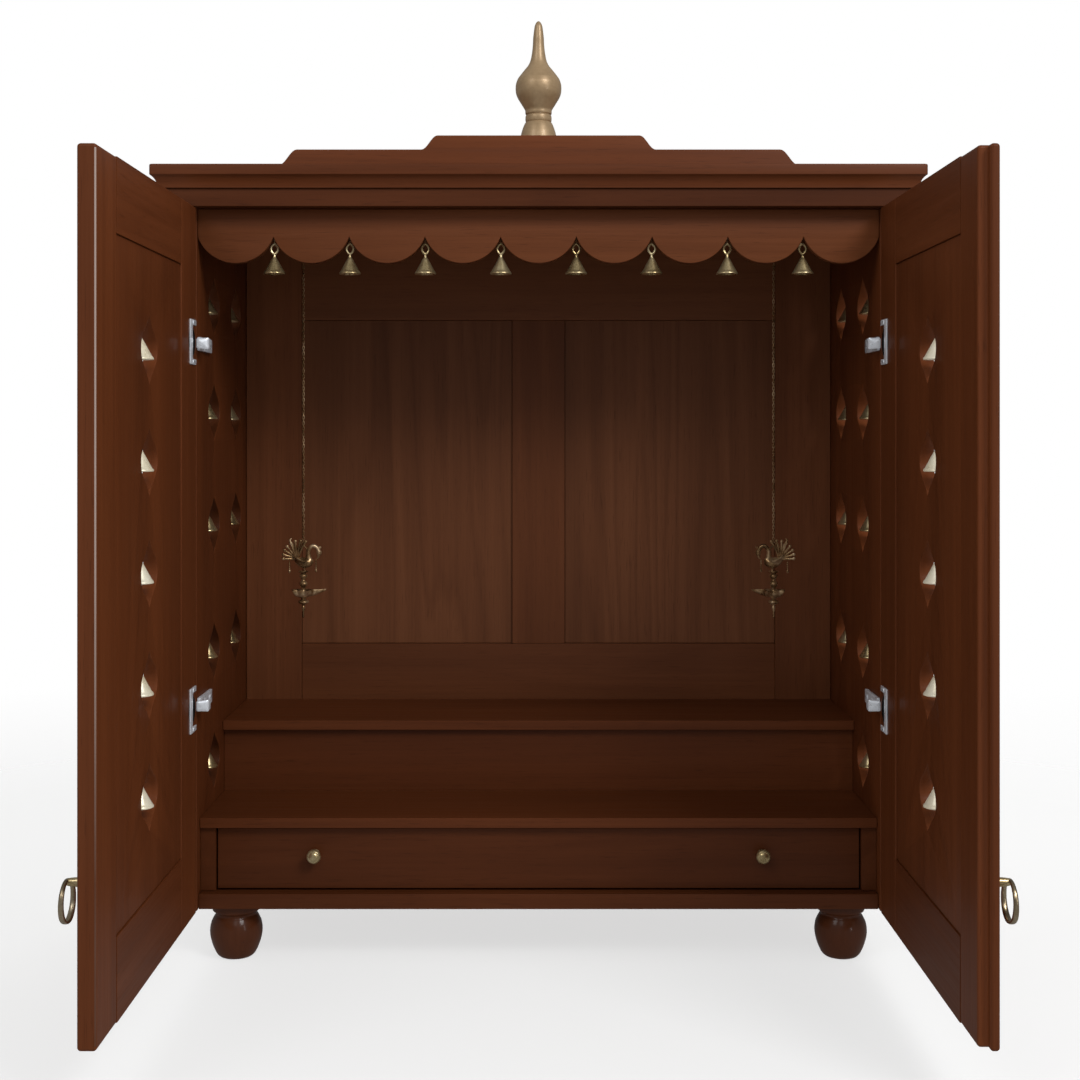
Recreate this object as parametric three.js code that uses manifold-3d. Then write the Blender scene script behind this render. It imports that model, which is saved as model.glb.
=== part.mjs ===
// Household altar cabinet of dark stained wood, in millimetres, with +Z up and its front towards -Y.
// It stands with both doors open at a right angle: a carcass on bun feet, a scalloped valance with bells,
// two inner steps over a drawer, a stepped crest with a turned finial, and two hanging bird lamps.
import * as THREE from 'three';
import { mergeVertices } from 'three/addons/utils/BufferGeometryUtils.js';
import Module from 'manifold-3d';

const wasm = await Module();
wasm.setup();

// Driving dimensions of the carcass. y is 0 at its front edge until the whole cabinet is shifted at the end
const INNER_HALF = 400;
const BOARD = 18;
const OUTER_HALF = INNER_HALF + BOARD;
const DEPTH = 333;
const BACK_FRONT = DEPTH - BOARD;
const FLOOR_Z = 65;
const TOP_Z = 888;
const FIT = 0.15;

// The boards inside the carcass
const BOTTOM_TOP = 83;
const BOTTOM_NOSE = 8;
const STEP_THICK = 12;
const RISER_FRONT = 161;
const LOWER_STEP = { z: 159, nose: 14, back: RISER_FRONT };
const UPPER_STEP = { z: 249, nose: 152, back: BACK_FRONT };
const FILLER_FRONT = 20;

// The framed back
const BACK_STILE = 76;
const BACK_MIDDLE = 72;
const BACK_BOTTOM_RAIL_TOP = 337;
const BACK_TOP_RAIL_FOOT = 779.5;
const BACK_PANEL_SET = 4;

// The frieze, the cornice and the crest
const FRIEZE_FRONT = -20;
const FRIEZE_HALF = OUTER_HALF + 20;
const FRIEZE_TOP = 909;
const CORNICE_TOP = 935.8;
const CORNICE_OUT = 11;
const COVE_START = 3;
const FILLET_FOOT = 923.1;
const CREST_BACK = 25;
const CREST_TIERS = [
  { top: 954, foot_half: 301.5, top_half: 280 },
  { top: 970.3, foot_half: 136, top_half: 117 },
];

// The valance under the frieze, and the bells in its notches
const VALANCE = { front: 3, back: 15, notch: 855.6, sag: 31, scallops: 9 };
const SCALLOP = 2 * INNER_HALF / VALANCE.scallops;
const BELL_Y = 12;
const BELL = { height: 24, mouth: 12.7, waist: 7.6, crown: 3.2, wall: 1.3 };
const BELL_RING = { half_width: 4.6, half_height: 6, wire: 1.1 };
const BELL_DROP = 6;

// The pointed cut-outs of the side walls and the doors
const CUTOUT = { half_width: 34, half_height: 35 };
const WALL_CUTOUT_Y = [101, 242];
const WALL_CUTOUT_Z = [222, 357, 513, 651, 781];
const DOOR_CUTOUT_COUNT = 5;
const DOOR_CUTOUT_Z = 251;
const DOOR_CUTOUT_PITCH = 115;

// The doors, drawn closed in front of the left half of the carcass and then turned open about their pivot
const PIVOT = { x: -414, y: -18 };
const DOOR = { foot: 68, head: 887.2, outer: -20, inner: -2, hinge_edge: -417.5, play: 0.75, rebate: 10 };
const DOOR_HALF_FACE = (DOOR.outer + DOOR.inner) / 2;
const DOOR_HINGE_STILE_END = -344;
const DOOR_MEETING_STILE_START = -71.5;
const DOOR_BOTTOM_RAIL_TOP = 150;
const DOOR_TOP_RAIL_FOOT = 814;
const DOOR_PANEL_SET = 1.5;
const DOOR_CUTOUT_X = -204;

// The concealed hinges: a cup let into each door, and an arm on the side wall that reaches into it
const HINGE_Z = { lower: 307, upper: 730 };
const CUP = { x: -396.5, bore: 17.5, play: 0.3, depth: 12.5, wall: 1.4, flange: 1.4 };
const CUP_EAR = { reach: 26, half_width: 9.5 };
const ARM = { near: 383.5, tip: -12, waist: 12, shoulder: 30, back: 68, half_height: 7.5, thick: 13.5 };
const ARM_PLATE = { front: 34, back: 52, half_height: 8.5, thick: 3 };
const ARM_SPINE = { front: 28, back: 60, half_height: 6, thick: 5 };

// The ring pulls: a turned stud with an eye, and a ring that hangs through it
const PULL = { x: -44.5, z: 210.4, reach: 21, rosette: 13, ball: 6.5, eye: 3.4 };
const PULL_RING = { radius: 18.7, wire: 2.1 };

// The drawer and its knobs
const DRAWER = { half_width: 380.5, foot: 85, head: 157, face: 24, thick: 18 };
const DRAWER_BOX = { half_width: 368, back: 300, foot: 88, head: 148, wall: 12, floor: 6 };
const KNOB = { x: 265, z: 126, radius: 8.5, length: 18 };

// The feet, the finial and the hanging lamps
const FOOT = { x: 362, y: 44 };
const FINIAL_Y = 2.5;
const LAMP = { x: 294.5, y: 130, ring_top: 484, bird_feet: 450, rim: 428.5, tip: 393.5 };
const LAMP_DISH = { radius: 13, spout: 27, spouts: 5 };

const FACETS = { foot: 12, finial: 14, bell: 8, knob: 10, cup: 12, lamp: 8 };

const wood = { color: 0x4a2316, roughness: 0.42, metalness: 0 };
const brass = { color: 0xb08d4a, roughness: 0.3, metalness: 1 };
const gold_paint = { color: 0xa88a63, roughness: 0.38, metalness: 0.6 };
const chrome = { color: 0xd5d8dc, roughness: 0.18, metalness: 1 };

const altar = new THREE.Group();

function add(name, geometry, finish) {
  const mesh = new THREE.Mesh(geometry, new THREE.MeshStandardMaterial(finish));
  mesh.name = name;
  altar.add(mesh);
  return mesh;
}

// Solids for joining and cutting
function solid(geometry) {
  const bare = geometry.clone();
  bare.deleteAttribute('normal');
  bare.deleteAttribute('uv');
  const merged = mergeVertices(bare, 1e-4);
  const vertProperties = Float32Array.from(merged.attributes.position.array);
  const triVerts = Uint32Array.from(merged.index.array);
  return new wasm.Manifold(new wasm.Mesh({ numProp: 3, vertProperties, triVerts }));
}

function geometryOf(body) {
  const mesh = body.getMesh();
  const geometry = new THREE.BufferGeometry();
  geometry.setAttribute('position', new THREE.BufferAttribute(mesh.vertProperties, 3));
  geometry.setIndex(new THREE.BufferAttribute(mesh.triVerts, 1));
  return geometry;
}

function join(parts) {
  return parts.map(solid).reduce((whole, part) => whole.add(part));
}

// A board between two corners, a hair smaller than its place, so that neighbours never share a face
function board(x0, x1, y0, y1, z0, z1) {
  const geometry = new THREE.BoxGeometry(x1 - x0 - 2 * FIT, y1 - y0 - 2 * FIT, z1 - z0 - 2 * FIT);
  return geometry.translate((x0 + x1) / 2, (y0 + y1) / 2, (z0 + z1) / 2);
}

function extruded(shape, depth) {
  return new THREE.ExtrudeGeometry(shape, { depth, bevelEnabled: false });
}

// An outline in x and z, extruded along y from front to back
function slab(shape, front, back) {
  return extruded(shape, back - front - 2 * FIT).rotateX(Math.PI / 2).translate(0, back - FIT, 0);
}

// An outline in y and z, extruded along x
function plank(shape, x0, x1) {
  const geometry = extruded(shape, x1 - x0 - 2 * FIT);
  return geometry.rotateX(Math.PI / 2).rotateZ(Math.PI / 2).translate(x0 + FIT, 0, 0);
}

// An outline in x and y, extruded upwards
function post(shape, z0, z1) {
  return extruded(shape, z1 - z0 - 2 * FIT).translate(0, 0, z0 + FIT);
}

function polygon(points) {
  return new THREE.Shape(points.map(([a, b]) => new THREE.Vector2(a, b)));
}

// A turned body from radius and height pairs, standing on the z axis
function turned(profile, facets) {
  const points = profile.map(([radius, height]) => new THREE.Vector2(radius, height));
  return new THREE.LatheGeometry(points, facets).rotateX(Math.PI / 2);
}

// A round wire along a curve
function wire(curve, radius, steps, sides) {
  const section = new THREE.Shape().absarc(0, 0, radius, 0, 2 * Math.PI);
  const options = { steps, extrudePath: curve, curveSegments: sides / 2, bevelEnabled: false };
  return new THREE.ExtrudeGeometry(section, options);
}

// Half of the outline between two corners, as an ogee: it leaves flat, and arrives flat
function ogee(from, to, steps) {
  const [x0, z0] = from;
  const [x1, z1] = to;
  const lean = 0.38;
  const a = new THREE.Vector2(x0, z0);
  const b = new THREE.Vector2(x0 + lean * (x1 - x0), z0);
  const c = new THREE.Vector2(x1 - lean * (x1 - x0), z1);
  const d = new THREE.Vector2(x1, z1);
  return new THREE.CubicBezierCurve(a, b, c, d).getPoints(steps).map((p) => [p.x, p.y]);
}

// A pointed cut-out around a centre: sharp above and below and round at the waist
function cutoutPoints(across, up) {
  const { half_width, half_height } = CUTOUT;
  const steps = 3;
  const quarter = new THREE.CubicBezierCurve(
    new THREE.Vector2(half_width, 0),
    new THREE.Vector2(half_width, half_height * 0.45),
    new THREE.Vector2(half_width * 0.45, half_height * 0.5),
    new THREE.Vector2(0, half_height),
  ).getPoints(steps);
  const rising = quarter.slice(0, steps);
  const falling = quarter.slice(1).reverse();
  const outline = [
    ...rising.map((p) => [p.x, p.y]),
    ...falling.map((p) => [-p.x, p.y]),
    ...rising.map((p) => [-p.x, -p.y]),
    ...falling.map((p) => [p.x, -p.y]),
  ];
  return outline.map(([a, b]) => new THREE.Vector2(across + a, up + b));
}

// Side walls with two columns of cut-outs
for (const [side, x0] of [['left', -OUTER_HALF], ['right', INNER_HALF]]) {
  const y1 = DEPTH - FIT;
  const wall = polygon([[FIT, FLOOR_Z + FIT], [y1, FLOOR_Z + FIT], [y1, TOP_Z - FIT], [FIT, TOP_Z - FIT]]);
  for (const y of WALL_CUTOUT_Y) {
    for (const z of WALL_CUTOUT_Z) {
      wall.holes.push(new THREE.Path(cutoutPoints(y, z)));
    }
  }
  add(`side_wall_${side}`, plank(wall, x0, x0 + BOARD), wood);
}

// Bottom board, steps and riser
const half = INNER_HALF;
add('bottom_board', board(-half, half, BOTTOM_NOSE, BACK_FRONT, FLOOR_Z, BOTTOM_TOP), wood);
for (const [name, step] of [['lower_step', LOWER_STEP], ['upper_step', UPPER_STEP]]) {
  add(name, board(-half, half, step.nose, step.back, step.z, step.z + STEP_THICK), wood);
}
add('step_riser', board(-half, half, RISER_FRONT, RISER_FRONT + BOARD, LOWER_STEP.z, UPPER_STEP.z), wood);
for (const [side, x0] of [['left', -half], ['right', half - BOARD]]) {
  const filler = board(x0, x0 + BOARD, FILLER_FRONT, BACK_FRONT, BOTTOM_TOP, LOWER_STEP.z);
  add(`drawer_filler_${side}`, filler, wood);
}

// Framed back: outer stiles, rails, a middle stile and two panels set in from both faces
const stile_in = half - BACK_STILE;
const middle = BACK_MIDDLE / 2;
add('back_stile_left', board(-half, -stile_in, BACK_FRONT, DEPTH, FLOOR_Z, TOP_Z), wood);
add('back_stile_right', board(stile_in, half, BACK_FRONT, DEPTH, FLOOR_Z, TOP_Z), wood);
add('back_bottom_rail', board(-stile_in, stile_in, BACK_FRONT, DEPTH, FLOOR_Z, BACK_BOTTOM_RAIL_TOP), wood);
add('back_top_rail', board(-stile_in, stile_in, BACK_FRONT, DEPTH, BACK_TOP_RAIL_FOOT, TOP_Z), wood);
const [panel_foot, panel_head] = [BACK_BOTTOM_RAIL_TOP, BACK_TOP_RAIL_FOOT];
add('back_middle_stile', board(-middle, middle, BACK_FRONT, DEPTH, panel_foot, panel_head), wood);
for (const [side, x0, x1] of [['left', -stile_in, -middle], ['right', middle, stile_in]]) {
  const front = BACK_FRONT + BACK_PANEL_SET;
  const back = DEPTH - BACK_PANEL_SET;
  add(`back_panel_${side}`, board(x0, x1, front, back, panel_foot, panel_head), wood);
}

// Frieze board, and the cornice on it: two moulded prisms that meet in mitres at the front corners
add('frieze_board', board(-FRIEZE_HALF, FRIEZE_HALF, FRIEZE_FRONT, DEPTH, TOP_Z, FRIEZE_TOP), wood);

function corniceEdge(face, out) {
  const foot = FRIEZE_TOP + FIT;
  const cove = ogee([foot, face + out * COVE_START], [FILLET_FOOT, face + out * CORNICE_OUT], 5);
  const arris = 1.5;
  return [
    ...cove.map(([z, across]) => [across, z]),
    [face + out * CORNICE_OUT, CORNICE_TOP - arris],
    [face + out * (CORNICE_OUT - arris), CORNICE_TOP],
  ];
}

const front_edge = corniceEdge(FRIEZE_FRONT, -1);
const across_front = plank(
  polygon([[DEPTH, FRIEZE_TOP + FIT], ...front_edge, [DEPTH, CORNICE_TOP]]),
  -FRIEZE_HALF - CORNICE_OUT - 1,
  FRIEZE_HALF + CORNICE_OUT + 1,
);
const left_edge = corniceEdge(-FRIEZE_HALF, -1);
const right_edge = corniceEdge(FRIEZE_HALF, 1).reverse();
const along_sides = slab(polygon([...left_edge, ...right_edge]), FRIEZE_FRONT - CORNICE_OUT - 1, DEPTH + 1);
add('cornice', geometryOf(solid(across_front).intersect(solid(along_sides))), wood);

// Stepped crest with ogee ends, and the finial on it
function crestOutline() {
  const right = [];
  let foot = CORNICE_TOP + FIT;
  for (const { top, foot_half, top_half } of CREST_TIERS) {
    right.push(...ogee([foot_half, foot], [top_half, top], 5));
    foot = top;
  }
  const left = right.map(([x, z]) => [-x, z]).reverse();
  return polygon([...right, ...left]);
}

const crest_top = CREST_TIERS[1].top;
add('crest', slab(crestOutline(), FRIEZE_FRONT, CREST_BACK), wood);
const finial_profile = [
  [0, 0], [20.4, 0], [18.1, 7.4], [14.2, 20.2], [13.4, 21], [14.6, 24], [14.6, 27.5], [13.2, 29.4],
  [14.6, 32], [14.2, 34.9], [17.6, 41], [22.8, 49.5], [26.2, 58.5], [25.9, 64], [21.6, 73.5], [14.4, 82.5],
  [9.4, 89], [6.7, 100], [5.3, 119], [3.7, 132], [2.2, 136.5], [0, 138],
];
const finial = turned(finial_profile, FACETS.finial);
add('finial', finial.translate(0, FINIAL_Y, crest_top + FIT), gold_paint);

// Bun feet: a collar, a neck and a bulging bun that narrows to the floor
const foot_profile = [
  [0, 0], [18, 0], [22, 3], [28, 14], [31, 27], [31, 37], [28.5, 46], [25.5, 50], [25, 54], [28, 57],
  [28, FLOOR_Z - FIT], [0, FLOOR_Z - FIT],
];
for (const [end, y] of [['front', FOOT.y], ['back', DEPTH - FOOT.y]]) {
  for (const [side, x] of [['left', -FOOT.x], ['right', FOOT.x]]) {
    add(`foot_${end}_${side}`, turned(foot_profile, FACETS.foot).translate(x, y, 0), wood);
  }
}

// Valance: round scallops that meet in notches
function valanceOutline() {
  const points = [[half - FIT, TOP_Z - FIT], [-half + FIT, TOP_Z - FIT]];
  const chord = SCALLOP / 2;
  const radius = (chord * chord + VALANCE.sag * VALANCE.sag) / (2 * VALANCE.sag);
  const centre_z = VALANCE.notch - VALANCE.sag + radius;
  const spread = Math.asin(chord / radius);
  const steps = 7;
  for (let i = 0; i < VALANCE.scallops; i += 1) {
    const x = -half + SCALLOP * (i + 0.5);
    const first = i === 0 ? 0 : 1;
    for (let k = first; k <= steps; k += 1) {
      const angle = spread * (2 * k / steps - 1);
      const across = THREE.MathUtils.clamp(x + radius * Math.sin(angle), -half + FIT, half - FIT);
      points.push([across, centre_z - radius * Math.cos(angle)]);
    }
  }
  return polygon(points);
}

add('valance', slab(valanceOutline(), VALANCE.front, VALANCE.back), wood);

// A small bell: a flared hollow body under a wire ring, hung from a short hook
function bell(hook) {
  const { height, mouth, waist, crown, wall } = BELL;
  const profile = [
    [0, height * 0.8], [crown - wall, height * 0.78], [waist - wall, height * 0.3], [mouth - wall * 1.4, 0],
    [mouth, 0], [mouth, wall], [waist, height * 0.34], [crown + 0.7, height * 0.82],
    [crown * 0.7, height], [0, height],
  ];
  const ring_z = height + BELL_RING.half_height;
  const loop = new THREE.EllipseCurve(0, ring_z, BELL_RING.half_width, BELL_RING.half_height);
  const points = loop.getPoints(12).slice(0, 12).map((p) => new THREE.Vector3(p.x, 0, p.y));
  const ring = new THREE.CatmullRomCurve3(points, true);
  const parts = [turned(profile, FACETS.bell), closedWire(ring, BELL_RING.wire, 8, 4)];
  const foot = ring_z + BELL_RING.half_height - 0.5;
  const tip = foot + hook;
  parts.push(turned([[0, foot], [1, foot], [1, tip - 3.2], [0.2, tip - 0.4], [0, tip]], 4));
  return geometryOf(join(parts));
}

// A ring of wire on a closed curve, swept by hand so that its ends meet
function closedWire(curve, radius, steps, sides) {
  const positions = [];
  const index = [];
  const frames = curve.computeFrenetFrames(steps, true);
  for (let i = 0; i < steps; i += 1) {
    const centre = curve.getPointAt(i / steps);
    for (let k = 0; k < sides; k += 1) {
      const angle = 2 * Math.PI * (k + 0.5) / sides;
      const point = centre.clone();
      point.addScaledVector(frames.normals[i], radius * Math.cos(angle));
      point.addScaledVector(frames.binormals[i], radius * Math.sin(angle));
      positions.push(point.x, point.y, point.z);
      const next = (i + 1) % steps;
      const turn = (k + 1) % sides;
      const [a, b, c, d] = [i * sides + k, next * sides + k, next * sides + turn, i * sides + turn];
      index.push(a, b, c, a, c, d);
    }
  }
  const geometry = new THREE.BufferGeometry();
  geometry.setAttribute('position', new THREE.Float32BufferAttribute(positions, 3));
  geometry.setIndex(index);
  return outward(geometry);
}

// Turns a closed mesh the right way out
function outward(geometry) {
  const position = geometry.attributes.position;
  const index = geometry.index.array;
  const [a, b, c] = [new THREE.Vector3(), new THREE.Vector3(), new THREE.Vector3()];
  let volume = 0;
  for (let i = 0; i < index.length; i += 3) {
    a.fromBufferAttribute(position, index[i]);
    b.fromBufferAttribute(position, index[i + 1]);
    c.fromBufferAttribute(position, index[i + 2]);
    volume += a.dot(b.cross(c));
  }
  if (volume < 0) {
    for (let i = 0; i < index.length; i += 3) {
      [index[i], index[i + 1]] = [index[i + 1], index[i]];
    }
  }
  return geometry;
}

const bell_total = BELL.height + 2 * BELL_RING.half_height + BELL_DROP - 0.5;
for (let i = 1; i < VALANCE.scallops; i += 1) {
  const x = -half + SCALLOP * i;
  const z = VALANCE.notch - 2 * FIT - bell_total;
  add(`valance_bell_${i}`, bell(BELL_DROP).translate(x, BELL_Y, z), brass);
}

// Doors. Each piece is drawn on the closed left door, turned open, and mirrored for the right one
function openDoor(geometry, side) {
  geometry.translate(-PIVOT.x, -PIVOT.y, 0);
  geometry.applyMatrix4(new THREE.Matrix4().set(0, 1, 0, 0, -1, 0, 0, 0, 0, 0, 1, 0, 0, 0, 0, 1));
  geometry.translate(PIVOT.x, PIVOT.y, 0);
  if (side === 'right') {
    mirror(geometry);
  }
  return geometry;
}

function mirror(geometry) {
  geometry.scale(-1, 1, 1);
  if (geometry.index) {
    const index = geometry.index.array;
    for (let i = 0; i < index.length; i += 3) {
      [index[i], index[i + 1]] = [index[i + 1], index[i]];
    }
    return geometry;
  }
  const position = geometry.attributes.position;
  const [a, b] = [new THREE.Vector3(), new THREE.Vector3()];
  for (let i = 0; i < position.count; i += 3) {
    a.fromBufferAttribute(position, i);
    b.fromBufferAttribute(position, i + 1);
    position.setXYZ(i, b.x, b.y, b.z);
    position.setXYZ(i + 1, a.x, a.y, a.z);
  }
  return geometry;
}

// The meeting stile is plain on the left door, and on the right one its inner half is set back in a rebate
function meetingStile(side) {
  const start = DOOR_MEETING_STILE_START + FIT;
  const end = -DOOR.play;
  const inner_end = side === 'left' ? end : end - DOOR.rebate;
  const edge = side === 'left' ? [] : [[end, DOOR_HALF_FACE], [inner_end, DOOR_HALF_FACE]];
  const section = polygon([
    [start, DOOR.outer], [end, DOOR.outer], ...edge, [inner_end, DOOR.inner], [start, DOOR.inner],
  ]);
  return post(section, DOOR.foot, DOOR.head);
}

// The hinge stile with its two bores for the cups
function hingeStile() {
  const { hinge_edge, outer, inner, foot, head } = DOOR;
  let stile = solid(board(hinge_edge, DOOR_HINGE_STILE_END, outer - FIT, inner + FIT, foot, head));
  for (const z of Object.values(HINGE_Z)) {
    const bore = new THREE.CylinderGeometry(CUP.bore, CUP.bore, CUP.depth * 2, FACETS.cup);
    stile = stile.subtract(solid(bore.translate(CUP.x, inner, z)));
  }
  return geometryOf(stile);
}

function doorPanel() {
  const x0 = DOOR_HINGE_STILE_END + FIT;
  const x1 = DOOR_MEETING_STILE_START - FIT;
  const z0 = DOOR_BOTTOM_RAIL_TOP + FIT;
  const z1 = DOOR_TOP_RAIL_FOOT - FIT;
  const panel = polygon([[x0, z0], [x1, z0], [x1, z1], [x0, z1]]);
  for (let i = 0; i < DOOR_CUTOUT_COUNT; i += 1) {
    const z = DOOR_CUTOUT_Z + DOOR_CUTOUT_PITCH * i;
    panel.holes.push(new THREE.Path(cutoutPoints(DOOR_CUTOUT_X, z)));
  }
  return slab(panel, DOOR.outer + DOOR_PANEL_SET, DOOR.inner - DOOR_PANEL_SET);
}

function doorRail(z0, z1) {
  const { outer, inner } = DOOR;
  return board(DOOR_HINGE_STILE_END, DOOR_MEETING_STILE_START, outer - FIT, inner + FIT, z0, z1);
}

// A hinge cup: a round pot in the bore, under a thin flange with an ear above and below
function hingeCup(z) {
  const { bore, play, depth, wall, flange } = CUP;
  const { reach, half_width } = CUP_EAR;
  const radius = bore - play;
  const hollow = radius - wall;
  const rim = bore + 1.5;
  const pot = turned([
    [0, play - depth], [radius, play - depth], [radius, 0], [rim, 0], [rim, flange], [hollow, flange],
    [hollow, wall - depth], [0, wall - depth],
  ], FACETS.cup);
  let cup = solid(pot);
  for (const end of [-1, 1]) {
    const length = reach - hollow - 0.5;
    const tab = new THREE.BoxGeometry(2 * half_width, length, flange - 0.1);
    cup = cup.add(solid(tab.translate(0, end * (reach - length / 2), flange / 2)));
  }
  return geometryOf(cup).rotateX(-Math.PI / 2).translate(CUP.x, DOOR.inner + 0.05, z);
}

// A hinge arm: a cross-shaped plate on the side wall and a channel that narrows towards the door
function hingeArm(z, side) {
  const { near, tip, waist, shoulder, back, half_height, thick } = ARM;
  const waist_height = half_height * 0.72;
  const tip_height = half_height * 0.9;
  const outline = polygon([
    [back, z - half_height], [back, z + half_height], [shoulder, z + half_height], [waist, z + waist_height],
    [tip, z + tip_height], [tip, z - tip_height], [waist, z - waist_height], [shoulder, z - half_height],
  ]);
  const parts = [plank(outline, -near - thick, -near)];
  for (const layer of [ARM_PLATE, ARM_SPINE]) {
    const { front, back: layer_back, half_height: reach, thick: depth } = layer;
    parts.push(board(-INNER_HALF, -INNER_HALF + depth, front, layer_back, z - reach, z + reach));
  }
  const geometry = geometryOf(join(parts));
  return side === 'right' ? mirror(geometry) : geometry;
}

function pullStud() {
  const { reach, rosette, ball, eye } = PULL;
  const profile = [
    [0, 0], [rosette, 0], [rosette, 1.6], [rosette * 0.72, 3.4], [5.4, 4.4], [3.6, 7], [3.6, reach - ball],
    [ball * 0.8, reach - ball * 0.62], [ball, reach], [ball * 0.8, reach + ball * 0.62],
    [0, reach + ball * 0.95],
  ];
  const hole = new THREE.CylinderGeometry(eye, eye, 4 * ball, FACETS.knob).rotateZ(Math.PI / 2);
  const stud = solid(turned(profile, FACETS.knob)).subtract(solid(hole.translate(0, 0, reach)));
  return geometryOf(stud).rotateX(Math.PI / 2).translate(PULL.x, DOOR.outer - FIT, PULL.z);
}

function pullRing() {
  const { radius, wire: thickness } = PULL_RING;
  const ring = new THREE.TorusGeometry(radius, thickness, 6, 16).rotateX(Math.PI / 2);
  return ring.translate(PULL.x, DOOR.outer - FIT - PULL.reach, PULL.z - radius);
}

for (const side of ['left', 'right']) {
  add(`door_hinge_stile_${side}`, openDoor(hingeStile(), side), wood);
  add(`door_meeting_stile_${side}`, openDoor(meetingStile(side), side), wood);
  add(`door_bottom_rail_${side}`, openDoor(doorRail(DOOR.foot, DOOR_BOTTOM_RAIL_TOP), side), wood);
  add(`door_top_rail_${side}`, openDoor(doorRail(DOOR_TOP_RAIL_FOOT, DOOR.head), side), wood);
  add(`door_panel_${side}`, openDoor(doorPanel(), side), wood);
  for (const [level, z] of Object.entries(HINGE_Z)) {
    add(`hinge_cup_${level}_${side}`, openDoor(hingeCup(z), side), chrome);
    add(`hinge_arm_${level}_${side}`, hingeArm(z, side), chrome);
  }
  add(`pull_stud_${side}`, openDoor(pullStud(), side), brass);
  add(`pull_ring_${side}`, openDoor(pullRing(), side), brass);
}

// Drawer: its front, its open box and two turned knobs
const drawer_back = DRAWER.face + DRAWER.thick;
const face = board(-DRAWER.half_width, DRAWER.half_width, DRAWER.face, drawer_back, DRAWER.foot, DRAWER.head);
add('drawer_front', face, wood);

function drawerBox() {
  const { half_width, back, foot, head, wall, floor } = DRAWER_BOX;
  const inside_half = half_width - wall;
  const above = head + wall;
  const outside = board(-half_width, half_width, drawer_back, back, foot, head);
  const inside = board(-inside_half, inside_half, drawer_back + wall, back - wall, foot + floor, above);
  return geometryOf(solid(outside).subtract(solid(inside)));
}

add('drawer_box', drawerBox(), wood);

const knob_profile = [
  [0, 0], [5.6, 0], [5.2, 1.6], [3.4, 3.4], [3.4, 6.4], [6.4, 9], [KNOB.radius, 12.4],
  [KNOB.radius * 0.94, 15], [5.2, 17.2], [0, KNOB.length],
];
for (const [side, x] of [['left', -KNOB.x], ['right', KNOB.x]]) {
  const knob = turned(knob_profile, FACETS.knob).rotateX(Math.PI / 2);
  add(`drawer_knob_${side}`, knob.translate(x, DRAWER.face - FIT, KNOB.z), brass);
}

// A hanging lamp: chain, bird, stem, a shallow dish with pointed spouts and a pendant, cast and linked as one
function birdParts() {
  const { x, y, bird_feet } = LAMP;
  const body = new THREE.SphereGeometry(1, 8, 5).scale(11, 6.4, 7.6);
  body.rotateY(0.35).translate(x, y, bird_feet + 12.5);
  const bends = [[-6, 15], [-11, 21], [-12.5, 28], [-17, 32.5], [-20.2, 28], [-19.5, 23]];
  const neck_points = bends.map(([a, b]) => new THREE.Vector3(x + a, y, bird_feet + b));
  const neck = new THREE.CatmullRomCurve3(neck_points);
  const beak = new THREE.ConeGeometry(2.6, 8, 6).rotateX(-Math.PI / 2).translate(x - 19, y, bird_feet + 20);
  const tail = polygon([
    [5, 10], [16, 6], [19.5, 14], [19, 26], [14.5, 33], [12, 41], [9.5, 32], [6, 22], [1, 16],
  ]);
  const fan = new THREE.ExtrudeGeometry(tail, { depth: 5, bevelEnabled: false });
  fan.rotateX(Math.PI / 2).translate(x, y + 2.5, bird_feet);
  return [body, wire(neck, 3.4, 5, 6), beak, fan];
}

function dishParts() {
  const { x, y, rim, tip, bird_feet } = LAMP;
  const { radius, spout, spouts } = LAMP_DISH;
  const stem = [
    [0, tip - rim], [1.2, tip - rim + 2], [2.2, -22], [3.4, -19.5], [2.4, -16.5], [6.4, -13.6], [6.2, -11.4],
    [3, -9.6], [radius * 0.7, -8.4], [radius, -5], [radius, 0], [radius - 1.6, 0], [radius - 2.6, -4.6],
    [3.2, -6], [2.6, 2], [4.6, 5.5], [2.8, 8.5], [5, 12], [2.8, 15], [3, bird_feet - rim + 6],
    [0, bird_feet - rim + 8],
  ];
  const parts = [turned(stem, FACETS.lamp).translate(x, y, rim)];
  for (let i = 0; i < spouts; i += 1) {
    const lip = polygon([[radius - 2, -5], [spout, 0], [radius - 2, 5]]);
    const nozzle = new THREE.ExtrudeGeometry(lip, { depth: 4, bevelEnabled: false });
    nozzle.rotateZ(Math.PI + 2 * Math.PI * i / spouts);
    parts.push(nozzle.translate(x, y, rim - 4.4));
  }
  return parts;
}

function chainParts() {
  const { x, y, ring_top, bird_feet } = LAMP;
  const rod_foot = bird_feet + 17;
  const rod = turned([[0, rod_foot], [1, rod_foot], [1, TOP_Z - 1], [0, TOP_Z - 1]], 6).translate(x, y, 0);
  const rosette = turned([[0, -3], [4.5, -2], [6, 0], [0, 0]], 10).translate(x, y, TOP_Z - FIT);
  const knot = turned([[0, 0], [3.2, 2.4], [3.2, 5], [0, 7.4]], 8).translate(x, y, ring_top - 7);
  return [rod, rosette, knot];
}

for (const side of ['left', 'right']) {
  const geometry = geometryOf(join([...birdParts(), ...dishParts(), ...chainParts()]));
  add(`hanging_lamp_${side}`, side === 'left' ? mirror(geometry) : geometry, brass);
}

// The frame's origin is on the floor, under the middle of the cabinet with its doors open
const door_reach = PIVOT.x + PIVOT.y + DOOR.play;
altar.position.y = -(door_reach + DEPTH) / 2;
altar.updateMatrixWorld(true);

export default altar;
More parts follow.
